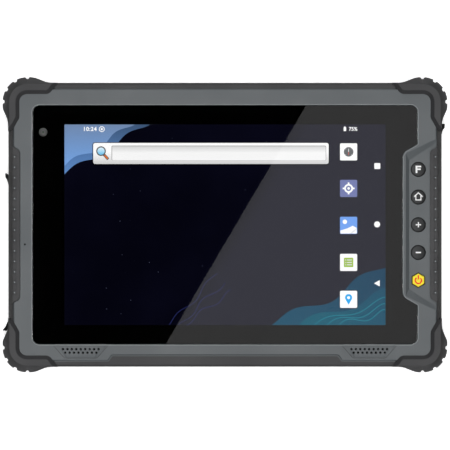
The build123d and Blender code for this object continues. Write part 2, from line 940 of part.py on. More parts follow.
def battery_pack():
    """Removable pack with a lid flush with the housing and two latch pockets."""
    solid = prism(battery_outline(0), rear_face, rear_face + battery_lid)
    solid += prism(battery_outline(-battery_step), rear_face, pack_top)
    for x in (-latch_x, latch_x):
        solid -= latch_bolt(x, battery_gap)
    return solid


def latch_bolt(x, grow):
    """Sliding bolt plate inside the housing, with its tongue towards the battery."""
    half = latch_plate_width / 2 + grow
    reach = bay_top - battery_step - latch_tongue - grow
    z_span = (latch_low - grow / 2, latch_high + grow / 2)
    return block((x - half, x + half), (reach, latch_y + latch_length), z_span)


def battery_latch(x):
    """Knob in its recess, neck through the wall and bolt plate behind it."""
    half = latch_width / 2
    low = rear_face - knob_proud
    knob_z = (low, rear_face + latch_recess - knob_gap)
    solid = block((x - half, x + half), (latch_y, latch_y + latch_length), knob_z)
    groove_half = half - knob_margin
    for index in range(knob_grooves):
        y = latch_y + latch_length * (index + 0.5) / knob_grooves
        y_span = (y - knob_groove_width / 2, y + knob_groove_width / 2)
        solid -= block((x - groove_half, x + groove_half), y_span, (0, low + knob_groove_depth))
    neck_half = latch_neck_width / 2
    solid += block((x - neck_half, x + neck_half), (neck_low, neck_high), (rear_face, latch_low + lap))
    return solid + latch_bolt(x, 0)


def latch_cut(x):
    """Recess, slot and tongue window for one latch."""
    half = latch_width / 2 + latch_gap
    recess_y = (latch_y - latch_gap, latch_y + latch_length + latch_travel + latch_gap)
    recess = block((x - half, x + half), recess_y, (0, rear_face + latch_recess))
    slot_half = latch_neck_width / 2 + latch_gap
    slot_y = (neck_low - latch_gap, neck_high + latch_travel + latch_gap)
    slot = block((x - slot_half, x + slot_half), slot_y, (0, rear_inner + over))
    return recess + slot + latch_bolt(x, latch_gap)


def rear_housing():
    """Dark rear shell: walls, battery bay, port recesses, bosses and every rear opening."""
    body = prism(rounded_rectangle(body_x, body_y, bumper_radius), rear_face, rail_bottom - bumper_gap)
    solid = sloped(body, 0, rear_chamfer, rear_chamfer)
    for side_x, side_y in corners:
        solid -= mirrored(prism(corner_zone(bumper_gap), 0, bumper_top), side_x, side_y)
    solid += core_prism(rear_face, wall_top)
    solid -= prism(rounded_rectangle(cavity_x, cavity_y, cavity_corner), rear_inner, bezel_front)
    solid += prism(battery_outline(bay_wall + battery_gap), rear_inner - lap, bay_ceiling + bay_wall)
    solid -= prism(battery_outline(battery_gap), 0, rear_face + battery_lid + seal_thickness)
    solid -= prism(battery_outline(battery_gap - battery_step), 0, bay_ceiling)
    for x in (-latch_x, latch_x):
        solid -= latch_cut(x)
    half = connector_width / 2 + window_gap
    window_z = (board_top - window_gap, board_top + connector_height + window_gap)
    solid -= block((-half, half), (bay_top - 2 * battery_step, bay_top + bay_wall + over), window_z)
    for x, y in strap_places():
        top = rear_face + insert_length
        solid += rod(x, y, rear_inner - lap, top, insert_radius + boss_wall)
        solid -= rod(x, y, 0, top + over, insert_radius + screw_gap)
    for x, y in post_places():
        solid -= rod(x, y, 0, bezel_back, screw_radius + 2 * screw_gap)
        solid -= rod(x, y, 0, rear_face + screw_head_depth + head_gap, screw_head + head_gap)
    solid += camera_plateau()
    solid -= rear_openings()
    solid -= grip_grooves()
    solid -= port_openings()
    return solid


def camera_plateau():
    """Low raised field round the rear camera and the flash."""
    field = rounded_rectangle(plateau_width / 2, plateau_height / 2, plateau_corner)
    solid = sloped(prism(field, camera_face, rear_inner - over), 0, plateau_rise / 2, plateau_rise)
    return Pos((rear_camera_x + flash_x) / 2, rear_camera_y, 0) * solid


def grip_grooves():
    """Finger grooves on both sides of the battery."""
    grooves = []
    for side_x in (1, -1):
        for index in range(groove_count):
            y = battery_y + groove_pitch * (index - (groove_count - 1) / 2)
            slot = Pos(side_x * groove_x, y, 0) * SlotOverall(groove_length, groove_width)
            grooves.append(prism(slot, 0, rear_face + groove_depth))
    return grooves


def port_openings():
    """Cover recesses, peg holes and socket windows through the side walls."""
    cuts = []
    for name in covers:
        side_x, y, direction, length = covers[name][:4]
        cuts.append(beside(side_x, y, direction, cover_cut(length)))
    cuts += [peg_holes(name) for name in anchors]
    for name in sockets:
        cuts.append(socket_box(name, shell_gap, cover_plate, cover_plate + pocket_depth + shell_depth))
    return cuts


def rear_openings():
    """Camera, flash, vent and dock contact openings."""
    window_radius = rear_camera_radius + window_gap
    half = dock_block_width / 2
    dock_low = dock_block_z - dock_block_height / 2
    dock_high = dock_block_z + dock_block_height / 2
    mouth_x = (-half - dock_margin_x, half + dock_margin_x)
    mouth_y = (-body_y - over, -body_y + dock_block_recess)
    block_x = (-half - window_gap, half + window_gap)
    return [
        rod(rear_camera_x, rear_camera_y, 0, camera_face + window_thickness + window_gap, window_radius),
        rod(rear_camera_x, rear_camera_y, 0, rear_inner + over, rear_camera_radius - barrel_step),
        rod(flash_x, rear_camera_y, 0, rear_inner + over, flash_radius + window_gap),
        rod(vent_x, vent_y, 0, rear_face + vent_thickness, vent_radius + window_gap),
        rod(vent_x, vent_y, 0, rear_inner + over, vent_bore),
        block(mouth_x, mouth_y, (dock_low - dock_margin_z, dock_high + dock_margin_z)),
        block(block_x, (-body_y, -cavity_y + over), (dock_low - window_gap, dock_high + window_gap)),
    ]


def strap_places():
    """Four threaded inserts for a hand strap or a mount plate."""
    return [(side_x * strap_x, side_y * strap_y) for side_x, side_y in corners]


# Screen stack
def cover_glass():
    """Front glass with a soft top edge."""
    solid = prism(glass_outline(glass_gap), glass_back, glass_front)
    return sloped(solid, -1, glass_edge, glass_edge)


def glass_border():
    """Printed black film behind the glass, open over the lit area and the camera."""
    solid = prism(glass_outline(film_inset), film_back, glass_back)
    lit = rounded_rectangle(active_width / 2, active_height / 2, active_corner)
    solid -= prism(lit, film_back - over, glass_back + over)
    return solid - rod(camera_x, camera_y, film_back - over, glass_back + over, camera_radius)


def glass_adhesive():
    """Ring of bonding foam on the bezel's ledge."""
    ring = prism(glass_outline(film_inset), ledge_z, film_back)
    return ring - prism(glass_outline(film_inset + adhesive_width), ledge_z - over, film_back + over)


def display_panel():
    """Liquid crystal cell."""
    half_x = active_width / 2 + panel_margin_x
    half_y = active_height / 2 + panel_margin_y
    return prism(rounded_rectangle(half_x, half_y, panel_corner), panel_back, film_back)


def backlight_unit():
    """Light guide in its tray, behind the cell."""
    half_x = active_width / 2 + panel_margin_x
    half_y = active_height / 2 + panel_margin_y
    solid = prism(rounded_rectangle(half_x, half_y, panel_corner), plate_top, panel_back)
    return sloped(solid, 0, panel_thickness / 3, panel_thickness / 3)


def front_camera():
    """Camera barrel behind the border film's window."""
    low = film_back - camera_depth
    half = camera_body / 2
    x_span = (camera_x - half, camera_x + half)
    y_span = (camera_y - half, camera_y + half)
    base = block(x_span, y_span, (low, film_back - camera_nose))
    return base + rod(camera_x, camera_y, low, film_back, camera_radius + camera_rim)


def microphone():
    """Small can behind the sound hole."""
    x = -bezel_x + mic_inset
    half = mic_size / 2
    return block((x - half, x + half), (mic_y - half, mic_y + half), (bezel_back - mic_height, bezel_back))


def speaker_meshes():
    """Dust meshes under the sound holes."""
    return [speaker_mesh(side_x) for side_x in (1, -1)]


def speaker_mesh(side_x):
    """Dust mesh of one speaker."""
    x = side_x * speaker_x
    half = speaker_box_width / 2 - mesh_inset
    y_span = (speaker_y - hole_row_step, speaker_y + hole_row_step)
    return block((x - half, x + half), y_span, (bezel_back - mesh_thickness, bezel_back))


def speaker_box(side_x, grow):
    """Outside of one speaker."""
    x = side_x * speaker_x
    half = speaker_box_width / 2 + grow
    high = speaker_box_height / 2 + grow
    top = bezel_back - mesh_thickness
    z_span = (top - speaker_depth - grow, top)
    return block((x - half, x + half), (speaker_y - high, speaker_y + high), z_span)


def speakers():
    """Two speakers."""
    return [speaker(side_x) for side_x in (1, -1)]


def speaker(side_x):
    """Speaker in its box, with a shallow front chamber."""
    x = side_x * speaker_x
    top = bezel_back - mesh_thickness
    half = speaker_box_width / 2 - speaker_wall
    high = speaker_box_height / 2 - speaker_wall
    floor = top - chamber_depth
    chamber = block((x - half, x + half), (speaker_y - high, speaker_y + high), (floor, top + over))
    ring = Pos(x, speaker_y, 0) * SlotOverall(half, 2 * high - cone_margin)
    cone = prism(ring, floor - lap, floor + cone_rise)
    return speaker_box(side_x, 0) - chamber + cone


# Chassis plate and boards
def frame_places():
    """Short posts under the bezel that the chassis plate is screwed to."""
    side = glass_x - ledge_width + post_radius
    top = glass_y - ledge_width + board_screw_radius + 3 * screw_gap
    left_row = [(-side, y) for y in (-frame_screw_y, 0, frame_screw_y)]
    across = post_middle - frame_screw_step
    return left_row + [(side_x * across, side_y * top) for side_x, side_y in corners]


def chassis_plate():
    """Cast plate that carries the screen in front and the board behind."""
    left = cavity_x - plate_edge
    top = cavity_y - plate_end
    plate = block((-left, plate_right), (-top, top), (plate_bottom, plate_top))
    plate = fillet(plate.edges().filter_by(Axis.Z), plate_round)
    half_x = active_width / 2 + panel_margin_x + rim_gap
    half_y = active_height / 2 + panel_margin_y + rim_gap
    rim = rounded_rectangle(half_x + plate_rim, half_y + plate_rim, panel_corner + plate_rim)
    well = rounded_rectangle(half_x, half_y, panel_corner)
    plate += prism(rim, plate_bottom, bezel_back - bezel_gap) - prism(well, plate_top, bezel_front)
    plate -= rod(camera_x, camera_y, 0, bezel_front, camera_body / 2 + camera_room)
    for x, y in board_places():
        plate += rod(x, y, board_top, plate_bottom + lap, standoff_radius)
        plate -= rod(x, y, board_top - over, board_top + board_screw_length, board_screw_radius + screw_gap)
    for x, y in frame_places():
        plate -= rod(x, y, 0, bezel_front, board_screw_radius + 3 * screw_gap)
    for x, y in post_places():
        plate -= rod(x, y, 0, bezel_front, post_radius + rim_gap)
    for side_x in (1, -1):
        plate -= speaker_box(side_x, rim_gap)
    return plate


def board_places():
    """Standoffs between the chassis plate and the main board."""
    left = -cavity_x + board_edge + standoff_inset
    top = cavity_y - board_top_edge - standoff_inset
    low = bay_top + bay_wall + standoff_inset + standoff_rise
    bottom = bay_bottom + board_bay_gap + standoff_inset
    upper = [(left, top), (0, top), (plate_right - standoff_right_inset, top)]
    lower = [(left + standoff_step, low), (plate_right - standoff_low_inset, low + standoff_rise)]
    return upper + lower + [(left, bottom)]


def board_outline():
    """Board along the top with a strip down the port side."""
    left = -cavity_x + board_edge
    right = cavity_x - board_edge
    top = cavity_y - board_top_edge
    low = bay_top + bay_wall + board_bay_gap
    bottom = bay_bottom + board_bay_gap
    inner = left + board_strip
    points = [(left, bottom), (inner, bottom), (inner, low), (right, low), (right, top), (left, top)]
    return rounded_face(points, 6 * [board_round])


def main_board():
    """Circuit board with its screw holes and the window for the rear camera."""
    solid = prism(board_outline(), board_bottom, board_top)
    half = rear_camera_body / 2 + board_bay_gap
    x_span = (rear_camera_x - half, rear_camera_x + half)
    y_span = (rear_camera_y - half, rear_camera_y + half)
    solid -= block(x_span, y_span, (board_bottom - over, board_top + over))
    for x, y in board_places():
        solid -= rod(x, y, board_bottom - over, board_top + over, board_screw_radius + 3 * screw_gap)
    return solid


def shield_cans():
    """Pressed shields over the processor and the radio."""
    return [shield_can(processor_x, processor_shield), shield_can(radio_x, radio_shield)]


def shield_can(x, width):
    """One open-bottomed shield on the board."""
    half = width / 2
    high = shield_tall / 2
    top = board_top + shield_height
    can = block((x - half, x + half), (shields_y - high, shields_y + high), (board_top, top))
    can = fillet(can.edges().filter_by(Axis.Z), shield_round)
    half -= shield_wall
    high -= shield_wall
    room_z = (board_top - over, top - shield_wall)
    return can - block((x - half, x + half), (shields_y - high, shields_y + high), room_z)


def heat_spreader():
    """Aluminium block between the processor's shield and the chassis plate."""
    half = spreader_size / 2
    x_span = (processor_x - half, processor_x + half)
    return block(x_span, (shields_y - half, shields_y + half), (board_top + shield_height, plate_bottom))


def gnss_antenna():
    """Ceramic patch on the board."""
    half = antenna_size / 2
    x_span = (antenna_x - half, antenna_x + half)
    solid = block(x_span, (antenna_y - half, antenna_y + half), (board_top, board_top + antenna_height))
    return chamfer(solid.faces().sort_by(Axis.Z)[-1].edges(), antenna_bevel)


def key_board():
    """Narrow board behind the keys."""
    half_x = key_board_width / 2
    low = key_board_top - key_board_thickness
    y_span = (-key_board_half, key_board_half)
    solid = block((key_x - half_x, key_x + half_x), y_span, (low, key_board_top))
    return fillet(solid.edges().filter_by(Axis.Z), key_board_round)


def key_switches():
    """Five click switches on the key board."""
    switches = []
    half = switch_size / 2
    for y in key_places():
        body_z = (key_board_top, switch_top - switch_button)
        body = block((key_x - half, key_x + half), (y - half, y + half), body_z)
        switches.append(body + rod(key_x, y, key_board_top, switch_top, half / 2))
    return switches


def housing_gasket():
    """Seal between the housing wall and the bezel."""
    outer = core_prism(wall_top, bezel_back, -gasket_inset)
    return outer - core_prism(wall_top - over, bezel_back + over, -gasket_inset - gasket_width)


def battery_connector():
    """Contact block between the battery and the board's edge."""
    half = connector_width / 2
    low_y = bay_top - battery_step + battery_gap
    return block((-half, half), (low_y, low_y + connector_length), (board_top, board_top + connector_height))


def battery_seal():
    """Flat seal under the battery's lid."""
    low = rear_face + battery_lid
    ring = prism(battery_outline(battery_gap), low, low + seal_thickness)
    return ring - prism(battery_outline(battery_gap - seal_width), low - over, low + over)


# Rear and dock fittings
def rear_camera():
    """Camera module standing in the board's window."""
    half = rear_camera_body / 2
    low = rear_inner
    x_span = (rear_camera_x - half, rear_camera_x + half)
    y_span = (rear_camera_y - half, rear_camera_y + half)
    solid = block(x_span, y_span, (low, low + rear_camera_height))
    barrel_low = camera_face + window_thickness + window_gap
    barrel_radius = rear_camera_radius - barrel_step - window_gap
    return solid + rod(rear_camera_x, rear_camera_y, barrel_low, low + lap, barrel_radius)


def rear_camera_window():
    """Glass disc flush with the plateau."""
    return rod(rear_camera_x, rear_camera_y, camera_face, camera_face + window_thickness, rear_camera_radius)


def flash_lens():
    """Stepped lens of the flash lamp."""
    lens = rod(flash_x, rear_camera_y, camera_face, rear_inner, flash_radius)
    return lens + rod(flash_x, rear_camera_y, rear_inner, board_bottom, flash_radius + flash_flange)


def vent_membrane():
    """Breathing membrane that keeps water out."""
    return rod(vent_x, vent_y, rear_face, rear_face + vent_thickness, vent_radius)


def housing_screws():
    """Ten screws that pull the housing to the bezel."""
    screws = []
    for x, y in post_places():
        low = rear_face + head_gap
        head = rod(x, y, low, low + screw_head_depth, screw_head)
        shank = rod(x, y, low + screw_head_depth - lap, rear_inner + screw_length - screw_end_gap, screw_radius)
        recess = Pos(x, y, 0) * prism(RegularPolygon(hex_radius, 6), rear_face, low + hex_depth)
        screws.append(head + shank - recess)
    return screws


def small_screw(x, y, seat, end):
    """Screw whose head bears on a surface from below."""
    head = rod(x, y, seat - board_head_depth, seat, board_screw_head)
    return head + rod(x, y, seat - board_head_depth / 2, end, board_screw_radius)


def board_screws():
    """Screws through the main board into the chassis plate."""
    end = board_top + board_screw_length - screw_end_gap
    return [small_screw(x, y, board_bottom, end) for x, y in board_places()]


def frame_screws():
    """Screws through the chassis plate into the bezel."""
    end = plate_top + frame_screw_length - screw_end_gap
    return [small_screw(x, y, plate_bottom, end) for x, y in frame_places()]


def strap_inserts():
    """Four brass thread inserts."""
    top = rear_face + insert_length
    inserts = []
    for x, y in strap_places():
        inserts.append(rod(x, y, rear_face, top, insert_radius) - rod(x, y, 0, top + over, insert_bore))
    return inserts


def dock_block():
    """Insulating block of the dock connector in the bottom wall."""
    half = dock_block_width / 2
    low = dock_block_z - dock_block_height / 2
    front = -body_y + dock_block_recess
    solid = block((-half, half), (front, front + dock_block_depth), (low, low + dock_block_height))
    for x in contact_places():
        solid -= contact(x, front, screw_gap)
    return solid


def contact_places():
    """Middle of each dock contact."""
    return [contact_pitch * (index - (contact_count - 1) / 2) for index in range(contact_count)]


def contact(x, front, grow):
    """One gold pad let into the block."""
    half = contact_width / 2 + grow
    tall = contact_height / 2 + grow
    y_span = (front - contact_proud, front + contact_thickness + grow)
    return block((x - half, x + half), y_span, (dock_block_z - tall, dock_block_z + tall))


def dock_contacts():
    """Eight gold pads."""
    front = -body_y + dock_block_recess
    return [contact(x, front, 0) for x in contact_places()]


def write(node, shape):
    """Write one piece, or a group of like pieces, under its name."""
    if isinstance(shape, list):
        shape = Compound([solid for piece in shape for solid in piece.solids()])
    export_step(shape, f"parts/{node}.step")


def main():
    os.makedirs("parts", exist_ok=True)
    sides = {"left": -1, "right": 1}
    ends = {"top": 1, "bottom": -1}
    for end in ends:
        write(f"{end}_rail", end_rail(ends[end]))
        for side in sides:
            write(f"bumper_{end}_{side}", corner_bumper(sides[side], ends[end]))
    for side in sides:
        write(f"side_grip_{side}", side_grip(sides[side]))
        write(f"battery_latch_{side}", battery_latch(sides[side] * latch_x))
    for index, name in enumerate(["function", "home", "plus", "minus", "power"]):
        write(f"{name}_key", key_cap(index))
    for name in covers:
        write(f"port_cover_{name}", port_cover(name))
    write("cover_anchor_left", cover_anchor("left_upper"))
    write("cover_anchor_right", cover_anchor("right"))
    for name in sockets:
        write(name, socket(name))
    pieces = [
        front_bezel, rear_housing, housing_gasket, housing_screws, vent_membrane, strap_inserts, card_tray,
        cover_glass, glass_border, glass_adhesive, display_panel, backlight_unit, chassis_plate, frame_screws,
        front_camera, microphone, speakers, speaker_meshes, key_board, key_switches, dock_block, dock_contacts,
        main_board, board_screws, shield_cans, heat_spreader, gnss_antenna, rear_camera, rear_camera_window,
        flash_lens, battery_pack, battery_seal, battery_connector,
    ]
    for piece in pieces:
        write(piece.__name__, piece())


main()
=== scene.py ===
import json
import math

import bmesh
import bpy
from mathutils import Matrix, Vector


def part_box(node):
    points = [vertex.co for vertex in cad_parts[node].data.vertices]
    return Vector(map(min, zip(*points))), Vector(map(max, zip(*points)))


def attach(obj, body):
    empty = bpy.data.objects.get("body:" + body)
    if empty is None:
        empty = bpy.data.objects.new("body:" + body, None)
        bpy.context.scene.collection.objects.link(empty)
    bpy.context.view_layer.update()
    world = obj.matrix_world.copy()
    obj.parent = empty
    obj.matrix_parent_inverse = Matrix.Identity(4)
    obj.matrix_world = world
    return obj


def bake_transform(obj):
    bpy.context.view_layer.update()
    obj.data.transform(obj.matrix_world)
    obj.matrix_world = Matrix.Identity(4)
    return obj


# Rugged tablet data collector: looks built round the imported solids.
# Sizes are millimetres until a mesh or a texture is made. The stage at the end is in metres.
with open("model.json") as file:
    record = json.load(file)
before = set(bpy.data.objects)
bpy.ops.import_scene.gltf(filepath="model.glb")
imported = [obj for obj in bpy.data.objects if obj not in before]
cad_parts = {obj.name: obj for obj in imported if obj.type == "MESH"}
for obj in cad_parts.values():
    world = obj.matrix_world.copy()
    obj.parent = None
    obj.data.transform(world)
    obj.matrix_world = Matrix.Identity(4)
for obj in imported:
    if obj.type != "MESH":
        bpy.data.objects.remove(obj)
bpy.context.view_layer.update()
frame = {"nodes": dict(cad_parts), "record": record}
nodes = frame["nodes"]
MM = 0.001
NOISE_SPAN = (0.3, 0.7)  # where most values of a noise texture lie
PICTURE_GLOW = 1.06  # strength of the light that the picture on the screen gives
CASE_RUBBER = (49, 49, 51)


# ---------------------------------------------------------------- materials
def screen_colour(red, green, blue):
    """Linear colour of an 8-bit display colour."""
    values = []
    for level in (red, green, blue):
        v = level / 255
        values.append(v / 12.92 if v <= 0.04045 else ((v + 0.055) / 1.055) ** 2.4)
    return (*values, 1.0)


def tint(colour, factor):
    """Same colour, lighter or darker."""
    return (*(min(1.0, c * factor) for c in colour[:3]), 1.0)


class Shader:
    """One Principled material with its texture nodes on object coordinates."""

    def __init__(self, name, colour, rough, **values):
        self.material = bpy.data.materials.new(name)
        self.material.use_nodes = True
        tree = self.material.node_tree
        self.nodes = tree.nodes
        self.links = tree.links
        self.principled = self.nodes["Principled BSDF"]
        self.principled.inputs["Base Color"].default_value = colour
        self.principled.inputs["Roughness"].default_value = rough
        for key, value in values.items():
            self.principled.inputs[key.replace("_", " ").title().replace("Ior", "IOR")].default_value = value
        self.colour = colour
        self.rough = rough
        self.bump_normal = None

    def node(self, kind, **settings):
        made = self.nodes.new(kind)
        for key, value in settings.items():
            setattr(made, key, value)
        return made

    def texture(self, kind, per_mm, stretch=(1, 1, 1), turn=0.0):
        """Texture on the place in the piece, stretched or turned about Z."""
        place = self.node("ShaderNodeTexCoord")
        mapping = self.node("ShaderNodeMapping")
        mapping.inputs["Scale"].default_value = stretch
        mapping.inputs["Rotation"].default_value = (0, 0, turn)
        made = self.node(kind)
        made.inputs["Scale"].default_value = per_mm / MM
        self.links.new(place.outputs["Object"], mapping.inputs["Vector"])
        self.links.new(mapping.outputs["Vector"], made.inputs["Vector"])
        return made

    def noise(self, per_mm, detail=2.0, stretch=(1, 1, 1)):
        made = self.texture("ShaderNodeTexNoise", per_mm, stretch)
        made.inputs["Detail"].default_value = detail
        return made.outputs["Fac"]

    def along(self, axis, source="Object"):
        """One axis of the place in the piece, or of its normal."""
        place = self.node("ShaderNodeTexCoord")
        split = self.node("ShaderNodeSeparateXYZ")
        self.links.new(place.outputs[source], split.inputs["Vector"])
        return split.outputs[axis]

    def reckon(self, operation, *values):
        made = self.node("ShaderNodeMath", operation=operation)
        for socket, value in zip(made.inputs, values):
            self.links.new(value, socket)
        return made.outputs["Value"]

    def ramp(self, value, low, high, at_low=0.0, at_high=1.0):
        remap = self.node("ShaderNodeMapRange")
        for key, number in (("From Min", low), ("From Max", high), ("To Min", at_low), ("To Max", at_high)):
            remap.inputs[key].default_value = number
        self.links.new(value, remap.inputs["Value"])
        return remap.outputs["Result"]

    def mix(self, factor, first, second):
        """Blend of two colours; 6, 7 and 2 are the node's colour sockets."""
        blend = self.node("ShaderNodeMix", data_type="RGBA")
        self.links.new(factor, blend.inputs["Factor"])
        for socket, colour in ((blend.inputs[6], first), (blend.inputs[7], second)):
            if isinstance(colour, tuple):
                socket.default_value = colour
            else:
                self.links.new(colour, socket)
        return blend.outputs[2]

    def paint(self, output, socket="Base Color"):
        self.links.new(output, self.principled.inputs[socket])

    def bump(self, height, depth, strength=1.0):
        made = self.node("ShaderNodeBump")
        made.inputs["Strength"].default_value = strength
        made.inputs["Distance"].default_value = depth * MM
        self.links.new(height, made.inputs["Height"])
        if self.bump_normal is not None:
            self.links.new(self.bump_normal, made.inputs["Normal"])
        self.bump_normal = made.outputs["Normal"]
        self.links.new(self.bump_normal, self.principled.inputs["Normal"])

    def vary_gloss(self, cloud):
        self.paint(self.ramp(cloud, *NOISE_SPAN, self.rough - 0.05, self.rough + 0.06), "Roughness")

    def mottle(self, per_mm, amount, painted_flank_shade=1.0):
        """Slow change of colour and of gloss, and painted shade: a deeper tone on flanks than on flat faces.
        """
        cloud = self.noise(per_mm, 4.0)
        deep, pale = tint(self.colour, 1 - amount), tint(self.colour, 1 + amount)
        tone = self.mix(self.ramp(cloud, *NOISE_SPAN), deep, pale)
        # painted shade: steep faces take a darker copy of the colour
        if painted_flank_shade < 1.0:
            level = self.reckon("ABSOLUTE", self.along("Z", "Normal"))
            tone = self.mix(self.ramp(level, 0.6, 0.97), tint(self.colour, painted_flank_shade), tone)
        self.paint(tone)
        self.vary_gloss(cloud)
        return self

    def paint_shade(self, share, factor):
        """Painted shade: turn what is painted so far to a deeper tone by a share."""
        painted = self.principled.inputs["Base Color"].links[0].from_socket
        self.paint(self.mix(share, painted, tint(self.colour, factor)))

    def grained(self, per_mm, depth):
        """Fine spark-eroded grain over a slow waviness."""
        self.bump(self.noise(per_mm, 3.0), depth, 0.6)
        self.bump(self.noise(0.35, 2.0), depth * 0.8, 0.4)
        return self.material


def moulded(name, colour, rough, grain=3.2, depth=0.016, amount=0.05, painted_flank_shade=1.0, **values):
    """Moulded plastic or rubber of a display colour."""
    made = Shader(name, screen_colour(*colour), rough, **values)
    return made.mottle(0.05, amount, painted_flank_shade).grained(grain, depth)


def rail_rubber():
    """Rubber of the rails and side grips with painted shade: deeper on its flanks, and deeper still over the
    outer shoulder of the grips.
    """
    made = Shader("rail_rubber", screen_colour(*CASE_RUBBER), 0.6).mottle(0.05, 0.05, 0.66)
    # painted shade over the grips' outer shoulder, on faces that tilt up
    shoulder = made.ramp(made.reckon("ABSOLUTE", made.along("X")), 113.2 * MM, 114.6 * MM)
    raised = made.ramp(made.along("Z", "Normal"), 0.1, 0.4)
    made.paint_shade(made.reckon("MULTIPLY", shoulder, raised), 0.12)
    return made.grained(3.4, 0.016)


def bumper_rubber():
    """Rubber of the corners with painted shade: deeper on its flanks, and deeper high on the slopes that face
    out past the sides.
    """
    made = Shader("bumper_rubber", screen_colour(*CASE_RUBBER), 0.6).mottle(0.05, 0.05, 0.9)
    # painted shade high on the slopes that face outwards
    outward = made.ramp(made.reckon("MULTIPLY", made.along("X"), made.along("X", "Normal")), 0.01, 0.05)
    high = made.ramp(made.along("Z"), 17.5 * MM, 21.2 * MM)
    made.paint_shade(made.reckon("MULTIPLY", outward, high), 0.14)
    return made.grained(3.0, 0.02)


def metal(name, colour, rough, stretch=(1, 12, 12)):
    """Metal with a drawn grain and slight tarnish."""
    made = Shader(name, (*colour, 1), rough, metallic=1.0).mottle(0.12, 0.07)
    made.bump(made.noise(1.6, 3.0, stretch), 0.01, 0.5)
    return made.material


def light_giver(name):
    """Shader of something that gives light and has no gloss."""
    made = Shader(name, (0, 0, 0, 1), 0.6, specular_ior_level=0.0)
    made.principled.inputs["Emission Strength"].default_value = PICTURE_GLOW
    return made


def lit(name, colour, fade=None):
    """Part of the picture on the screen; fade is (other colour, axis, from, to)."""
    made = light_giver(name)
    colour = screen_colour(*colour)
    made.principled.inputs["Emission Color"].default_value = colour
    if fade:
        other, axis, start, end = fade
        share = made.ramp(made.along(axis), start * MM, end * MM)
        made.paint(made.mix(share, colour, screen_colour(*other)), "Emission Color")
    return made.material


def key_cap(name, low, high, rough, axis, span, rim):
    """Satin key with painted shading: its tone changes over its face as light falls across the dome, and its
    flange and its steep rim are painted black as shade in the gap round the cap.
    """
    low, high, black = screen_colour(*low), screen_colour(*high), screen_colour(5, 5, 5)
    made = Shader(name, low, rough, specular_ior_level=0.2)
    # painted shading: the face goes from one tone to the other along one axis
    face = made.mix(made.ramp(made.along(axis), span[0] * MM, span[1] * MM), low, high)
    face = made.mix(made.ramp(made.noise(0.4, 3.0), *NOISE_SPAN, 0.0, 0.25), face, tint(low, 0.8))
    # painted shade: the steep rim is black
    face = made.mix(made.ramp(made.along("Z", "Normal"), *rim), black, face)
    # painted shade: the flange below the key's face is black
    made.paint(made.mix(made.ramp(made.along("Z"), 19.05 * MM, 19.2 * MM), black, face))
    made.vary_gloss(made.noise(0.3, 4.0))
    made.bump(made.noise(4.0), 0.008, 0.5)
    return made.material


def glass(name, colour, rough=0.0):
    """Clear glass with faint smears in its colour."""
    made = Shader(name, colour, rough, transmission_weight=1.0, ior=1.45)
    smear = made.ramp(made.noise(0.04, 5.0, (1, 2.5, 1)), 0.4, 0.75)
    made.paint(made.mix(smear, colour, tint(colour, 0.985)))
    return made.material


def woven(name, colour, **values):
    """Fine crossed weave."""
    made = Shader(name, screen_colour(*colour), 0.8, **values)
    for turn in (0.0, math.pi / 2):
        made.bump(made.texture("ShaderNodeTexWave", 1.4, turn=turn).outputs["Fac"], 0.05, 0.7)
    return made.material


def border_print():
    """Black print behind the rim of the glass."""
    made = Shader("border_black", (0.0006, 0.0006, 0.0006, 1), 0.3, specular_ior_level=0.0)
    made.paint(made.ramp(made.noise(0.1, 3.0), *NOISE_SPAN, 0.25, 0.35), "Roughness")
    return made.material


def printed(name, colour, **values):
    """Thin coat of paint."""
    made = Shader(name, colour, 0.5, **values)
    made.bump(made.noise(5.0), 0.006, 0.5)
    return made.material


EVEN = (1, 1, 1)
materials = {
    # bezel grey has painted shade on its flanks: a slightly darker tone on steep faces
    "bezel_grey": moulded("bezel_grey", (82, 87, 90), 0.5, grain=4.0, depth=0.012, amount=0.03, painted_flank_shade=0.96),
    "housing_dark": moulded("housing_dark", (52, 53, 55), 0.6, grain=2.6, depth=0.03),
    "rail_rubber": rail_rubber(),
    "bumper_rubber": bumper_rubber(),
    "cover_rubber": moulded("cover_rubber", (14, 14, 15), 0.7, grain=3.0, specular_ior_level=0.25),
    "camera_black": moulded("camera_black", (34, 34, 36), 0.5, grain=4.0),
    "battery_case": moulded("battery_case", (46, 47, 49), 0.58, grain=2.2, depth=0.035),
    "latch_grey": moulded("latch_grey", (98, 103, 106), 0.5, grain=4.0, depth=0.01),
    "seal_foam": moulded("seal_foam", (30, 30, 31), 0.85, grain=2.0, depth=0.05),
    "board_green": moulded("board_green", (24, 92, 58), 0.4, grain=1.2, depth=0.02),
    "ceramic": moulded("ceramic", (214, 200, 176), 0.5, grain=1.8),
    "steel": metal("steel", (0.58, 0.58, 0.6), 0.34),
    "cast_alloy": metal("cast_alloy", (0.55, 0.56, 0.58), 0.5, EVEN),
    "screw_black": metal("screw_black", (0.1, 0.1, 0.105), 0.42, EVEN),
    "brass": metal("brass", (0.72, 0.5, 0.2), 0.36, (1, 1, 8)),
    "gold": metal("gold", (0.95, 0.68, 0.26), 0.26, (8, 1, 1)),
    "key_dark": key_cap("key_dark", (66, 67, 68), (33, 34, 35), 0.5, "X", (99.8, 107.5), (0.75, 0.93)),
    "key_yellow": key_cap("key_yellow", (255, 226, 50), (255, 240, 62), 0.45, "Y",
                          (-33.5, -26.0), (0.2, 0.5)),
    "clear_glass": glass("clear_glass", (1, 1, 1, 1)),
    "lens_glass": glass("lens_glass", (0.5, 0.55, 0.62, 1), 0.01),
    "membrane": woven("membrane", (150, 150, 148)),
    "mesh_black": woven("mesh_black", (6, 6, 6), specular_ior_level=0.1),
    "border_black": border_print(),
    "display": lit("display", (4, 4, 12)),
}

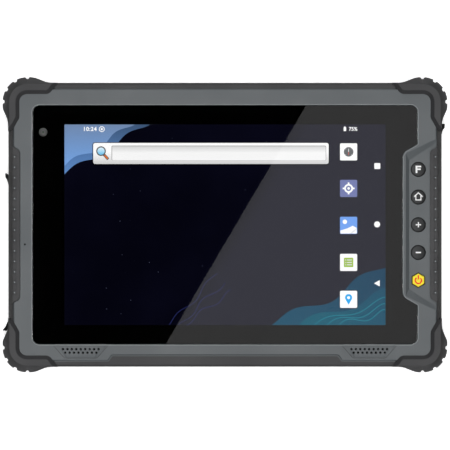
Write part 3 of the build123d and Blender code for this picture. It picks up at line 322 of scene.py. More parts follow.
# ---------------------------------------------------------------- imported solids
slot_of = {part["node"]: part["material_slot"] for part in frame["record"]["subparts"]}
plain_nodes = ("cover_glass", "glass_border", "display_panel", "rear_camera_window", "speaker_meshes")
# The speaker meshes and the microphone take the near-black weave in place of their recorded finish: painted
# shade behind their holes.
shade_weave_nodes = ("speaker_meshes", "microphone")
edge_widths = {  # of the nodes whose names start like this
    "bumper_": 0.35, "heat_spreader": 0.3, "side_grip_": 0.25, "rear_housing": 0.25, "battery_pack": 0.25,
    "port_cover_": 0.2, "cover_anchor_": 0.2, "battery_latch_": 0.2, "dock_block": 0.2, "function_key": 0.2,
    "home_key": 0.2, "plus_key": 0.2, "minus_key": 0.2, "power_key": 0.16, "front_bezel": 0.14,
    "top_rail": 0.12, "bottom_rail": 0.12, "housing_screws": 0.1, "shield_cans": 0.1, "strap_inserts": 0.08,
}


def dress_solid(name, node):
    """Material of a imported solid, and modifiers that soften its edges."""
    node.data.materials.clear()
    node.data.materials.append(materials["mesh_black" if name in shade_weave_nodes else slot_of[name]])
    if name == "glass_border":
        sink = node.modifiers.new("film_gap", "DISPLACE")
        sink.strength = -0.02 * MM
        sink.mid_level = 0.0
    if name in plain_nodes:
        return
    weld = node.modifiers.new("weld", "WELD")
    weld.merge_threshold = 0.002 * MM
    for width in [width for start, width in edge_widths.items() if name.startswith(start)]:
        bevel = node.modifiers.new("soft_edges", "BEVEL")
        bevel.width = width * MM
        bevel.segments = 2
        bevel.limit_method = "ANGLE"
        bevel.angle_limit = math.radians(38)
    node.modifiers.new("even_normals", "WEIGHTED_NORMAL").keep_sharp = False


for name, node in nodes.items():
    dress_solid(name, node)


# ---------------------------------------------------------------- flat shapes
def circle(x, y, radius, count=48):
    turn = 2 * math.pi / count
    return [(x + radius * math.cos(turn * i), y + radius * math.sin(turn * i)) for i in range(count)]


def arc(x, y, radius, start, end, count):
    """Points along an arc, angles in degrees."""
    step = math.radians(end - start) / count
    base = math.radians(start)
    turns = [base + step * i for i in range(count + 1)]
    return [(x + radius * math.cos(turn), y + radius * math.sin(turn)) for turn in turns]


def rounded(left, low, right, high, radius):
    """Rectangle with round corners, anticlockwise."""
    centres = ((right - radius, high - radius), (left + radius, high - radius),
               (left + radius, low + radius), (right - radius, low + radius))
    points = []
    for quarter, (x, y) in enumerate(centres):
        points += arc(x, y, radius, 90 * quarter, 90 * quarter + 90, 6)
    return points


def stroke(points, width):
    """Outline of a thick line through the points, with mitred bends."""
    sides = ([], [])
    for i, point in enumerate(points):
        here = Vector(point)
        before = (here - Vector(points[i - 1])).normalized() if i else None
        after = (Vector(points[i + 1]) - here).normalized() if i + 1 < len(points) else None
        along = before or after
        if before and after:
            along = (before + after).normalized()
        normal = Vector((-along.y, along.x))
        reach = width / 2
        if before and after:
            reach /= max(0.4, normal.dot(Vector((-before.y, before.x))))
        sides[0].append(tuple(here + normal * reach))
        sides[1].append(tuple(here - normal * reach))
    return sides[1] + sides[0][::-1]


def moved(points, x, y, turn=0.0):
    c, s = math.cos(math.radians(turn)), math.sin(math.radians(turn))
    return [(x + c * px - s * py, y + s * px + c * py) for px, py in points]


# ---------------------------------------------------------------- solid shapes and pieces
def ring(bm, outline, level):
    """Corners of an outline at one level."""
    return [bm.verts.new((x, y, level)) for x, y in outline]


def skin(bm, rings, index=0, capped=True):
    """Faces from each ring of corners to the next, and a cap on both ends."""
    loops = []
    for near, far in zip(rings, rings[1:]):
        loops += [(near[i - 1], near[i], far[i], far[i - 1]) for i in range(len(near))]
    if capped:
        loops += [rings[0][::-1], rings[-1]]
    for loop in loops:
        bm.faces.new(loop).material_index = index


def slab(bm, outline, low, high, index=0):
    """Closed prism of an outline between two levels."""
    skin(bm, [ring(bm, outline, low), ring(bm, outline, high)], index)


def band(bm, outer, inner, low, high, index=0):
    """Closed ring between two outlines with the same number of points."""
    section = ((outer, low), (outer, high), (inner, high), (inner, low))
    rings = [ring(bm, outline, level) for outline, level in section]
    skin(bm, rings + rings[:1], index, capped=False)


def revolved(bm, x, y, profile, index=0):
    """Closed solid of a radius and height profile turned about an upright line."""
    skin(bm, [ring(bm, circle(x, y, radius), z) for radius, z in profile], index)


def placed(name, data):
    """New object in the scene, at the origin."""
    made = bpy.data.objects.new(name, data)
    bpy.context.scene.collection.objects.link(made)
    return made


def plain_mesh(holder):
    """Mesh that a curve or a modifier gives; the object that held it is removed."""
    bpy.context.view_layer.update()
    mesh = bpy.data.meshes.new_from_object(holder.evaluated_get(bpy.context.evaluated_depsgraph_get()))
    bpy.data.objects.remove(holder)
    return mesh


def finish_piece(name, bm, kinds, body="tablet", smooth=False):
    """Turn millimetre geometry into a piece that rides on a body."""
    bmesh.ops.recalc_face_normals(bm, faces=bm.faces[:])
    bmesh.ops.scale(bm, vec=(MM, MM, MM), verts=bm.verts[:])
    mesh = bpy.data.meshes.new(name)
    bm.to_mesh(mesh)
    bm.free()
    for polygon in mesh.polygons:
        polygon.use_smooth = smooth
    for kind in kinds:
        mesh.materials.append(kind)
    made = placed(name, mesh)
    if body:
        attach(made, body)
    return made


def corners(name):
    """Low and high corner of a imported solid, in millimetres."""
    low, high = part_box(name)
    return low / MM, high / MM


def middle(name):
    low, high = corners(name)
    return (low + high) / 2


def top_of(name):
    return corners(name)[1].z


def foot_of(name):
    return corners(name)[0].z


BEZEL_FRONT = top_of("cover_glass") + 0.4
CASE_SIDE = corners("rear_housing")[1].x
BAY_X = 77.35  # from the middle of the case to the middle of each speaker bay

# ---------------------------------------------------------------- picture on the screen
SCREEN = top_of("display_panel")
HALF_X, HALF_Y = 86.1, 53.8
white = lit("ui_white", (255, 255, 255))


def layer(n):
    """Lower and upper level of one layer of the picture, each a hair above the one before."""
    low = SCREEN + 0.004 + 0.016 * n
    return low, low + 0.01


def draw(bm, outline, n, kind=0):
    """One flat shape on a layer of the picture."""
    slab(bm, outline, *layer(n), kind)


def lettering(bm, text, x, y, height, n, spacing=1.0):
    """Digits and signs from the built-in face on a layer of the picture, centred on x, y."""
    curve = bpy.data.curves.new("lettering", "FONT")
    curve.body = text
    curve.align_x = "CENTER"
    curve.space_character = spacing
    curve.resolution_u = 4
    curve.offset = 0.025
    mesh = plain_mesh(placed("lettering", curve))
    levels = [v.co.y for v in mesh.vertices]
    scale = height / (max(levels) - min(levels))
    centre = (max(levels) + min(levels)) / 2
    low, high = layer(n)
    flat = bmesh.new()
    flat.from_mesh(mesh)
    bpy.data.meshes.remove(mesh)
    bmesh.ops.remove_doubles(flat, verts=flat.verts[:], dist=1e-5)
    for v in flat.verts:
        v.co = Vector((x + v.co.x * scale, y + (v.co.y - centre) * scale, low))
    for v in bmesh.ops.extrude_face_region(flat, geom=flat.faces[:])["geom"]:
        if isinstance(v, bmesh.types.BMVert):
            v.co.z = high
    kept = {v: bm.verts.new(v.co) for v in flat.verts}
    for face in flat.faces:
        bm.faces.new([kept[v] for v in face.verts])
    flat.free()


def clip(points):
    return [(max(-HALF_X, min(HALF_X, x)), max(-HALF_Y, min(HALF_Y, y))) for x, y in points]


def wave_edge(start, end, swell, waves, phase=0.0):
    """Points from start to end along a gently waving line."""
    a, b = Vector(start), Vector(end)
    side = Vector((-(b - a).y, (b - a).x)).normalized()
    points = []
    for i in range(61):
        t = i / 60
        bow = swell * math.sin(math.pi * waves * t + phase) * math.sin(math.pi * t) ** 0.5
        points.append(tuple(a + (b - a) * t + side * bow))
    return points


def night_sky():
    """Deep blue ground with a few faint points, paler on the right of a slanting line: a painted reflection
    along the edge of the pale card's reflection.
    """
    made = light_giver("ui_night")
    slant = made.node("ShaderNodeVectorMath", operation="DOT_PRODUCT")
    slant.inputs[1].default_value = (1.0, -0.589, 0.0)
    made.links.new(made.node("ShaderNodeTexCoord").outputs["Object"], slant.inputs[0])
    # painted reflection: the ground turns paler past the slanting edge of the pale card's reflection
    painted_reflection = made.ramp(slant.outputs["Value"], 4 * MM, 14 * MM)
    cloud = made.ramp(made.noise(0.02, 3.0), 0.35, 0.7)
    ground = made.mix(cloud, screen_colour(4, 4, 14), screen_colour(8, 8, 22))
    ground = made.mix(painted_reflection, ground, screen_colour(21, 21, 38))
    points = made.ramp(made.texture("ShaderNodeTexVoronoi", 0.16).outputs["Distance"], 0.045, 0.02)
    made.paint(made.mix(points, ground, screen_colour(70, 74, 96)), "Emission Color")
    return made.material


def wallpaper():
    """Night ground with a glow in the upper left corner, hills in the lower right one and thin ridges."""
    kinds = [
        night_sky(),
        lit("ui_glow_outer", (90, 132, 190), fade=((60, 84, 116), "Y", 30, 54)),
        lit("ui_glow_inner", (116, 164, 227), fade=((112, 136, 172), "Y", 30, 54)),
        lit("ui_hill_far", (10, 78, 104), fade=((4, 60, 88), "X", 20, 86)),
        lit("ui_hill_near", (0, 92, 112), fade=((2, 74, 100), "X", 40, 86)),
        lit("ui_contour", (20, 128, 146)),
        lit("ui_ridge", (40, 46, 96)),
    ]
    night, glow_outer, glow_inner, hill_far, hill_near, contour, ridge = range(len(kinds))
    left, right, foot, top = -HALF_X, HALF_X, -HALF_Y, HALF_Y
    bm = bmesh.new()
    draw(bm, [(left, foot), (right, foot), (right, top), (left, top)], 0, night)
    draw(bm, clip(wave_edge((left, 27.0), (-40.3, top), 2.6, 3, 0.4)) + [(left, top)], 1, glow_outer)
    draw(bm, clip(wave_edge((left, 31.5), (-48.5, top), 2.2, 3, 0.4)) + [(left, top)], 2, glow_inner)
    draw(bm, clip(wave_edge((25.0, foot), (right, -23.0), 3.4, 3)) + [(right, foot)], 1, hill_far)
    draw(bm, clip(wave_edge((40.0, foot), (right, -34.0), 3.4, 2, 0.9)) + [(right, foot)], 2, hill_near)
    for shift in (2.2, 9.0, 15.5):
        line = wave_edge((46.0 + shift, foot), (right, -38.0 - 0.5 * shift), 2.4, 2, 0.9)
        draw(bm, clip(stroke(line, 0.35)), 3, contour)
    for shift in (0.0, 5.0, 9.0):
        line = wave_edge((-30.0 + shift, foot), (-4.0 + 0.8 * shift, -26.0 - shift), 1.6, 3, 0.5 * shift)
        draw(bm, clip(stroke(line, 0.3)), 1, ridge)
    finish_piece("screen_wallpaper", bm, kinds)


def search_bar():
    """Blank entry bar with a magnifier at its left."""
    kinds = [
        lit("bar_frame", (214, 214, 214), fade=((255, 255, 255), "Y", 33.5, 39.0)),
        lit("bar_field", (247, 247, 247), fade=((206, 206, 206), "Y", 38.6, 42.6)),
        lit("bar_shadow", (172, 172, 172)),
        lit("lens_rim", (96, 96, 100)),
        lit("lens_pane", (120, 200, 240), fade=((214, 240, 252), "Y", 38.0, 41.0)),
        lit("lens_handle", (222, 112, 44)),
        lit("bar_edge", (2, 2, 6)),
    ]
    surround, field, shadow, rim, pane, handle, edge = range(len(kinds))
    bm = bmesh.new()
    for outline, n, kind in (
        (rounded(-71.1, 31.9, 56.0, 44.2, 1.3), 4, edge),
        (rounded(-70.7, 32.6, 55.6, 43.9, 1.1), 5, surround),
        (rounded(-60.9, 34.5, 54.3, 42.5, 0.7), 6, shadow),
        (rounded(-60.5, 34.6, 54.0, 42.1, 0.6), 7, field),
        (stroke([(-64.9, 37.6), (-62.6, 35.1)], 1.5), 6, rim),
        (stroke([(-64.6, 37.3), (-62.9, 35.4)], 0.8), 7, handle),
        (circle(-66.5, 39.5, 2.6), 7, rim),
        (circle(-66.5, 39.5, 1.95), 8, pane),
    ):
        draw(bm, outline, n, kind)
    finish_piece("screen_search_bar", bm, kinds)


def app_tiles():
    """Five tiles with plain survey symbols: dial, target, map, list and pin."""
    kinds = [
        white,
        lit("tile_indigo", (112, 120, 172)),
        lit("tile_blue", (112, 162, 240)),
        lit("mark_grey", (98, 100, 102)),
        lit("mark_green", (154, 190, 62)),
        lit("mark_sky", (24, 168, 240)),
        lit("mark_red", (206, 92, 84)),
        lit("mark_pale", (226, 228, 232)),
        lit("tile_edge", (30, 30, 44)),
    ]
    plain, indigo, blue, grey, green, sky, red, pale, edge = range(len(kinds))
    x, half, inset = 66.3, 4.6, 4.4
    dial_y, target_y, map_y, list_y, pin_y = 39.1, 19.5, -0.3, -20.2, -40.0
    under_edge, tile, mark, over = 4, 5, 6, 7
    bm = bmesh.new()
    for y, ground in ((dial_y, plain), (target_y, indigo), (map_y, blue), (list_y, plain), (pin_y, plain)):
        margin = rounded(x - half - 0.25, y - half - 0.35, x + half + 0.25, y + half + 0.2, 0.8)
        draw(bm, margin, under_edge, edge)
        draw(bm, rounded(x - half, y - half, x + half, y + half, 0.6), tile, ground)

    draw(bm, circle(x, dial_y, 2.55), mark, grey)
    draw(bm, stroke([(x, dial_y - 1.7), (x, dial_y)], 0.35), over, red)
    draw(bm, stroke([(x, dial_y), (x, dial_y + 1.7)], 0.35), over, pale)
    for turn in (45, 135, 225, 315):
        draw(bm, stroke(moved([(0, 2.0), (0, 2.4)], x, dial_y, turn), 0.25), over, pale)

    band(bm, circle(x, target_y, 2.4), circle(x, target_y, 1.45), *layer(mark), plain)
    draw(bm, circle(x, target_y, 0.7), mark, plain)
    for turn in (0, 90, 180, 270):
        draw(bm, stroke(moved([(0, 2.3), (0, 3.2)], x, target_y, turn), 0.9), over, plain)

    near_field = [(-inset, -inset), (inset, -inset), (inset, -1.4), (2.2, -0.2), (-0.6, -1.6), (-inset, -2.8)]
    far_field = [(0.6, -inset), (1.7, -inset), (inset, -2.2), (inset, -1.4)]
    draw(bm, moved(near_field, x, map_y), mark, plain)
    draw(bm, moved(far_field, x, map_y), over, pale)
    draw(bm, circle(x - 2.0, map_y + 1.9, 1.2), mark, plain)

    draw(bm, rounded(x - 2.5, list_y - 2.5, x + 2.5, list_y + 2.5, 0.4), mark, green)
    for row in (-1.3, 0.0, 1.3):
        y = list_y + row
        draw(bm, rounded(x - 0.9, y - 0.25, x + 1.8, y + 0.25, 0.1), over, pale)
        draw(bm, circle(x - 1.6, y, 0.3, 16), over, pale)

    draw(bm, arc(x, pin_y + 0.9, 1.9, -30, 210, 28) + [(x, pin_y - 2.9)], mark, sky)
    draw(bm, circle(x, pin_y + 0.9, 0.8), over, plain)
    finish_piece("screen_app_tiles", bm, kinds)


def screen_marks():
    """Clock digits, signal ring, battery level and the three navigation marks."""
    bm = bmesh.new()
    lettering(bm, "10:24", -72.5, 51.4, 2.3, 5, 1.1)
    band(bm, circle(-66.1, 51.3, 1.55, 32), circle(-66.1, 51.3, 1.15, 32), *layer(5))
    draw(bm, circle(-66.1, 51.3, 0.6, 24), 5)
    draw(bm, rounded(63.6, 50.2, 65.0, 52.4, 0.3), 5)
    draw(bm, rounded(64.0, 52.4, 64.6, 52.8, 0.1), 5)
    lettering(bm, "75%", 68.7, 51.4, 2.1, 5)
    draw(bm, rounded(80.1, 29.9, 83.3, 33.1, 0.35), 5)
    draw(bm, circle(81.6, 0.2, 1.6), 5)
    draw(bm, [(79.9, -31.4), (83.0, -33.1), (83.0, -29.7)], 5)
    finish_piece("screen_marks", bm, [white])


wallpaper()
search_bar()
app_tiles()
screen_marks()


# ---------------------------------------------------------------- painted highlight round the glass
def flat_loops(name, level=None):
    """Outlines of a node's highest flat faces, or of its faces at a level, in millimetres, anticlockwise."""
    bm = bmesh.new()
    bm.from_mesh(nodes[name].data)
    bmesh.ops.scale(bm, vec=(1 / MM, 1 / MM, 1 / MM), verts=bm.verts[:])
    bmesh.ops.remove_doubles(bm, verts=bm.verts[:], dist=0.002)
    level = level or max(v.co.z for v in bm.verts)
    others = [f for f in bm.faces if any(abs(v.co.z - level) > 0.001 for v in f.verts)]
    bmesh.ops.delete(bm, geom=others, context="FACES")
    follow = {}
    for edge in bm.edges:
        if edge.is_boundary:
            loop = edge.link_loops[0]
            follow[loop.vert] = loop.link_loop_next.vert
    loops = []
    while follow:
        here = next(iter(follow))
        loops.append([])
        while here in follow:
            loops[-1].append(here.co.to_2d())
            here = follow.pop(here)
    bm.free()
    return loops


def top_outline(name, level=None):
    """Outer outline of a node's widest flat face."""
    return max(flat_loops(name, level), key=lambda loop: max(p.x for p in loop) - min(p.x for p in loop))


def grown(loop, amount):
    """The outline moved outwards by an amount."""
    points = []
    count = len(loop)
    for i, here in enumerate(loop):
        before = (here - loop[i - 1]).normalized()
        after = (loop[(i + 1) % count] - here).normalized()
        out = Vector((before.y + after.y, -before.x - after.x)).normalized()
        points.append(here + out * amount / max(0.5, out.dot(Vector((before.y, -before.x)))))
    return points


def glass_lip_highlight():
    """Thin pale painted highlight along the bezel's edge round the glass."""
    # painted highlight: a pale strip on the bezel's chamfer that stands in for the light it catches
    lip_highlight = Shader("painted_highlight_lip", screen_colour(134, 139, 141), 0.5)
    highlight_cloud = lip_highlight.ramp(lip_highlight.noise(0.2, 3.0), *NOISE_SPAN)
    lip_highlight.paint(lip_highlight.mix(highlight_cloud, tint(lip_highlight.colour, 0.9), tint(lip_highlight.colour, 1.1)))
    lip_highlight.bump(lip_highlight.noise(3.0), 0.006, 0.5)
    outline = top_outline("cover_glass")
    bm = bmesh.new()
    rings = []
    for away, rise in ((0.24, -0.33), (0.5, -0.03), (0.6, 0.03), (0.78, 0.02), (0.78, -0.05), (0.56, -0.06),
                       (0.27, -0.36)):
        rings.append(ring(bm, grown(outline, away), BEZEL_FRONT + rise))
    skin(bm, rings + rings[:1], capped=False)
    finish_piece("glass_lip_highlight", bm, [lip_highlight.material])


glass_lip_highlight()


# ---------------------------------------------------------------- key legends
def drape(bm, x, y, crest, dome, radius, thickness):
    """Lay a flat shape over a shallow dome."""
    ball = (radius**2 + dome**2) / (2 * dome)
    bm.normal_update()
    bmesh.ops.triangulate(bm, faces=bm.faces[:])
    for _ in range(2):
        long_edges = [e for e in bm.edges if e.calc_length() > 0.5]
        if long_edges:
            bmesh.ops.subdivide_edges(bm, edges=long_edges, cuts=1)
            bmesh.ops.triangulate(bm, faces=bm.faces[:])
    for v in bm.verts:
        away = min(radius, math.hypot(v.co.x - x, v.co.y - y))
        surface = crest - ball + math.sqrt(ball**2 - away**2)
        v.co.z = surface + (thickness if v.co.z > 0.5 else -0.1)


def legends():
    """Print on the keys: white over the domes of four, red on the flat power key."""
    thickness = 0.04
    print_white = printed("print_white", (0.9, 0.9, 0.9, 1))
    print_red = printed("print_red", screen_colour(245, 18, 44), specular_ior_level=0.1)
    shapes = {
        "function": [stroke([(-1.0, -1.95), (-1.0, 1.95)], 1.0), stroke([(-1.0, 1.5), (1.5, 1.5)], 0.9),
                     stroke([(-1.0, 0.05), (1.25, 0.05)], 0.85)],
        "home": [stroke([(-2.3, 0.15), (0, 2.3), (2.3, 0.15)], 0.54),
                 stroke([(-1.35, 0.75), (-1.35, -1.55), (1.35, -1.55), (1.35, 0.75)], 0.52)],
        "plus": [stroke([(-1.42, 0), (1.42, 0)], 0.6), stroke([(0, -1.42), (0, 1.42)], 0.6)],
        "minus": [stroke([(-1.42, 0), (1.42, 0)], 0.68)],
        "power": [stroke(arc(0, -0.08, 1.66, 130, 410, 40), 0.66), stroke([(0, 0.45), (0, 2.65)], 0.64)],
    }
    for name, outlines in shapes.items():
        x, y, _ = middle(name + "_key")
        crest = top_of(name + "_key")
        bm = bmesh.new()
        for outline in outlines:
            slab(bm, moved(outline, x, y), 0.0, 1.0)
        if name == "power":
            for v in bm.verts:
                v.co.z = crest + (thickness if v.co.z > 0.5 else -0.1)
        else:
            drape(bm, x, y, crest, 0.3, 3.7, thickness)
        finish_piece(name + "_legend", bm, [print_red if name == "power" else print_white], name + "_key")


legends()


# ---------------------------------------------------------------- front camera
def turned_rings(name, node, base, profiles, kinds):
    """Rings of (radius, rise) profiles turned about the middle of a camera, a material for each."""
    x, y, _ = middle(node)
    bm = bmesh.new()
    for index, profile in enumerate(profiles):
        revolved(bm, x, y, [(radius, base + rise) for radius, rise in profile], index)
    finish_piece(name, bm, kinds, smooth=True)


def front_camera_face():
    """Grey ring with a dark green eye, seen through the window in the black border."""
    ring_grey = Shader("camera_ring", screen_colour(96, 96, 96), 0.6)
    ring_grey.bump(ring_grey.noise(4.0), 0.01, 0.5)
    eye = Shader("camera_eye", screen_colour(36, 74, 50), 0.15)
    eye.bump(eye.noise(2.0), 0.004, 0.4)
    dish = ((2.28, 0.01), (2.28, 0.06), (1.5, 0.09), (1.2, 0.05), (0.9, 0.05))
    pupil = ((0.5, 0.05), (0.42, 0.1), (0.2, 0.13))
    kinds = [ring_grey.material, eye.material]
    turned_rings("front_camera_face", "front_camera", top_of("front_camera"), (dish, pupil), kinds)


front_camera_face()


# ---------------------------------------------------------------- lines, seams and studs of the bezel, with painted shade and highlight
def path_ribbon(bm, points, near, far, low, high, index=0):
    """Flat ribbon beside an open path, between two distances to its right."""
    loop = [Vector(p) for p in points]
    edges = ([], [])
    for i, here in enumerate(loop):
        before = (here - loop[i - 1]).normalized() if i else (loop[1] - here).normalized()
        after = (loop[i + 1] - here).normalized() if i + 1 < len(loop) else before
        right = Vector((before.y + after.y, -before.x - after.x)).normalized()
        for side, distance in zip(edges, (near, far)):
            side.append(tuple(here + right * distance))
    slab(bm, edges[1] + edges[0][::-1], low, high, index)


def speaker_bay_shade():
    """Dark line of painted shade along the two ends and the foot of each speaker bay."""
    # painted shade: a dark strip laid on the bezel along the bay's edges
    line = moulded("bay_shade_line", (46, 50, 52), 0.6, grain=4.0, depth=0.01)
    half_top, half_foot, top, foot, bend = 14.3, 8.7, -64.9, -71.3, 2.2
    lean = math.degrees(math.atan2(top - foot, half_top - half_foot))
    reach = bend * math.tan(math.radians(lean / 2))
    left = arc(-half_foot + reach, foot + bend, bend, 270 - lean, 270, 8)
    right = arc(half_foot - reach, foot + bend, bend, 270, 270 + lean, 8)
    path = [(-half_top, top)] + left + right + [(half_top, top)]
    bm = bmesh.new()
    for x in (-BAY_X, BAY_X):
        path_ribbon(bm, moved(path, x, 0), 0.0, 0.3, BEZEL_FRONT - 0.05, BEZEL_FRONT + 0.012)
    finish_piece("speaker_bay_shade_lines", bm, [line])


def bezel_flanges():
    """Flange of the bezel in the seam beside the top rail, dark as painted shade in the seam, and its lip
    lapping the bottom rail.
    """
    kinds = [moulded("seam_lip", (76, 80, 82), 0.6, grain=4.0, depth=0.01),
             # painted shade: the flange beside the top rail is dark
             moulded("seam_shade", (47, 50, 52), 0.6, grain=4.0, depth=0.01)]
    outline = top_outline("front_bezel", BEZEL_FRONT)
    edge = max(p.y for p in outline)
    bm = bmesh.new()
    for index, (side_y, far, drop) in enumerate(((-1, 1.2, 0.64), (1, 0.92, 0.72))):
        path = [p for p in outline if p.y * side_y > 62 and abs(p.x) < 91]
        path += [Vector((end, edge * side_y)) for end in (-91.4, 91.4)]
        path.sort(key=lambda p: -p.x * side_y)
        path_ribbon(bm, path, 0.58, far, BEZEL_FRONT - 1.0, BEZEL_FRONT - drop, index)
    finish_piece("bezel_flanges", bm, kinds)


def grip_studs():
    """Pale middle and rubber skirt on the studs that stand through the side grips; the pale middle is a
    painted highlight, paler than the bezel's grey.
    """
    high = top_of("front_bezel")
    pale = moulded("stud_highlight", (150, 157, 162), 0.5, grain=4.0, depth=0.01)
    bm = bmesh.new()
    for loop in flat_loops("front_bezel"):
        x, y = sum(loop, Vector((0, 0))) / len(loop)
        inner = circle(x, y, 0.33, 24)
        band(bm, circle(x, y, 0.68, 24), inner, high - 0.02, high + 0.03)
        # painted highlight: pale middle on each stud
        slab(bm, inner, high - 0.02, high + 0.04, 1)
    finish_piece("grip_studs", bm, [materials["rail_rubber"], pale])


speaker_bay_shade()
bezel_flanges()
grip_studs()


# ---------------------------------------------------------------- rubber hinges of the port covers
def cover_place(name):
    """Corners of a port cover, its side of the case, and the way from its hinge to its free end."""
    low, high = corners(name)
    return low, high, 1 if low.x > 0 else -1, -1 if name == "port_cover_left_lower" else 1


def tab_tip(name, body, outline):
    """Curled tip of a pull tab, as (outwards, along) points from the case's side and the free end."""
    low, high, side_x, along = cover_place(name)
    tip = high.y if along > 0 else low.y
    points = [(side_x * (CASE_SIDE + out), tip + along * step) for out, step in outline]
    bm = bmesh.new()
    slab(bm, points, low.z + 1.85, high.z - 1.85)
    finish_piece(name + "_tip", bm, [materials["cover_rubber"]], body)


curl = [(0.1, -4.2), (1.95, -2.1), (2.1, -0.2), (1.8, 0.35), (1.4, 0.3), (1.1, -0.5), (0.75, -1.1),
        (0.1, -1.2)]
tab_tip("port_cover_left_upper", "cover_left_upper", curl)
tab_tip("port_cover_right", "cover_right", [(out, along - 0.35) for out, along in curl])
tab_tip("port_cover_left_lower", "cover_left_lower",
        [(0.3, -4.4), (3.15, -1.0), (3.35, -0.5), (3.0, -0.2), (1.2, -0.6), (0.3, -1.2)])


def cover_web(name):
    """Thin strip that joins a port cover to its fixed end."""
    low, high, side_x, along = cover_place(name)
    face = CASE_SIDE * side_x
    hinge = (low.y if along > 0 else high.y) - 0.3 * along
    foot, crest = low.z + 0.3, high.z - 0.3
    bm = bmesh.new()
    columns = []
    for i in range(21):
        u = -1.1 + 2.5 * i / 20
        groove = 0.08 + 0.14 * math.exp(-(((u - 0.1) / 0.35) ** 2))
        section = ((groove, foot), (groove, crest), (0.6, crest), (0.6, foot))
        columns.append([bm.verts.new((face - side_x * depth, hinge + along * u, z)) for depth, z in section])
    skin(bm, columns)
    made = finish_piece(name + "_web", bm, [materials["cover_rubber"]], body=None)
    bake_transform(made)


for cover in ("left_upper", "left_lower", "right"):
    cover_web("port_cover_" + cover)


# ---------------------------------------------------------------- rows of like pieces
def new_tree(name, sizes, kinds, links):
    """Geometry tree that repeats a made piece in a row; also its nodes by label."""
    tree = bpy.data.node_groups.new(name, "GeometryNodeTree")
    sockets = {"Count": "Int", "Pitch": "Float"} | dict.fromkeys(sizes, "Float") | {"Finish": "Material"}
    for label, kind in sockets.items():
        tree.interface.new_socket(label, in_out="INPUT", socket_type="NodeSocket" + kind)
    tree.interface.new_socket("Geometry", in_out="OUTPUT", socket_type="NodeSocketGeometry")
    ends = {
        "given": "NodeGroupInput", "out": "NodeGroupOutput", "row": "GeometryNodeMeshLine",
        "step": "ShaderNodeCombineXYZ", "place": "GeometryNodeInstanceOnPoints",
        "real": "GeometryNodeRealizeInstances", "finish": "GeometryNodeSetMaterial",
    }
    made = {label: tree.nodes.new(kind) for label, kind in (ends | kinds).items()}
    links += (
        ("given", "Count", "row", "Count"), ("step", 0, "row", "Offset"), ("row", 0, "place", "Points"),
        ("place", 0, "real", "Geometry"), ("real", 0, "finish", "Geometry"),
        ("given", "Finish", "finish", "Material"), ("finish", 0, "out", "Geometry"),
    )
    for source, output, target, entry in links:
        tree.links.new(made[source].outputs[output], made[target].inputs[entry])
    return tree, made


def blade_tree():
    """Bowed spring strips side by side along Y."""
    kinds = {
        "spine": "GeometryNodeCurvePrimitiveBezierSegment",
        "section": "GeometryNodeCurvePrimitiveQuadrilateral", "blade": "GeometryNodeCurveToMesh",
        "first": "ShaderNodeCombineXYZ", "second": "ShaderNodeCombineXYZ", "last": "ShaderNodeCombineXYZ",
        "third": "ShaderNodeMath", "thirds": "ShaderNodeMath",
    }
    links = (
        ("given", "Length", "third", 0), ("given", "Length", "thirds", 0), ("given", "Length", "last", "X"),
        ("third", 0, "first", "X"), ("given", "Bow", "first", "Z"),
        ("thirds", 0, "second", "X"), ("given", "Bow", "second", "Z"),
        ("first", 0, "spine", "Start Handle"), ("second", 0, "spine", "End Handle"),
        ("last", 0, "spine", "End"),
        ("given", "Width", "section", "Width"), ("given", "Thickness", "section", "Height"),
        ("spine", 0, "blade", "Curve"), ("section", 0, "blade", "Profile Curve"),
        ("given", "Pitch", "step", "Y"), ("blade", 0, "place", "Instance"),
    )
    tree, made = new_tree("contact_blades", ("Length", "Width", "Thickness", "Bow"), kinds, links)
    made["third"].operation = made["thirds"].operation = "MULTIPLY"
    made["third"].inputs[1].default_value = 0.34
    made["thirds"].inputs[1].default_value = 0.66
    made["spine"].inputs["Resolution"].default_value = 6
    made["spine"].inputs["Start"].default_value = (0, 0, 0)
    made["blade"].inputs["Fill Caps"].default_value = True
    return tree


def rim_tree():
    """Round rims of square section side by side along X."""
    kinds = {
        "spine": "GeometryNodeCurvePrimitiveCircle",
        "section": "GeometryNodeCurvePrimitiveQuadrilateral", "rim": "GeometryNodeCurveToMesh",
    }
    links = (
        ("given", "Radius", "spine", "Radius"),
        ("given", "Width", "section", "Width"), ("given", "Width", "section", "Height"),
        ("spine", 0, "rim", "Curve"), ("section", 0, "rim", "Profile Curve"),
        ("given", "Pitch", "step", "X"), ("rim", 0, "place", "Instance"),
    )
    tree, made = new_tree("sound_hole_shade_rims", ("Radius", "Width"), kinds, links)
    made["spine"].inputs["Resolution"].default_value = 20
    return tree


def grown_mesh(name, tree, values):
    """Plain mesh made by a tree with the given inputs."""
    holder = placed(name, bpy.data.meshes.new(name))
    maker = holder.modifiers.new("maker", "NODES")
    maker.node_group = tree
    for socket in tree.interface.items_tree:
        if socket.in_out == "INPUT" and socket.name in values:
            maker[socket.identifier] = values[socket.name]
    return plain_mesh(holder)


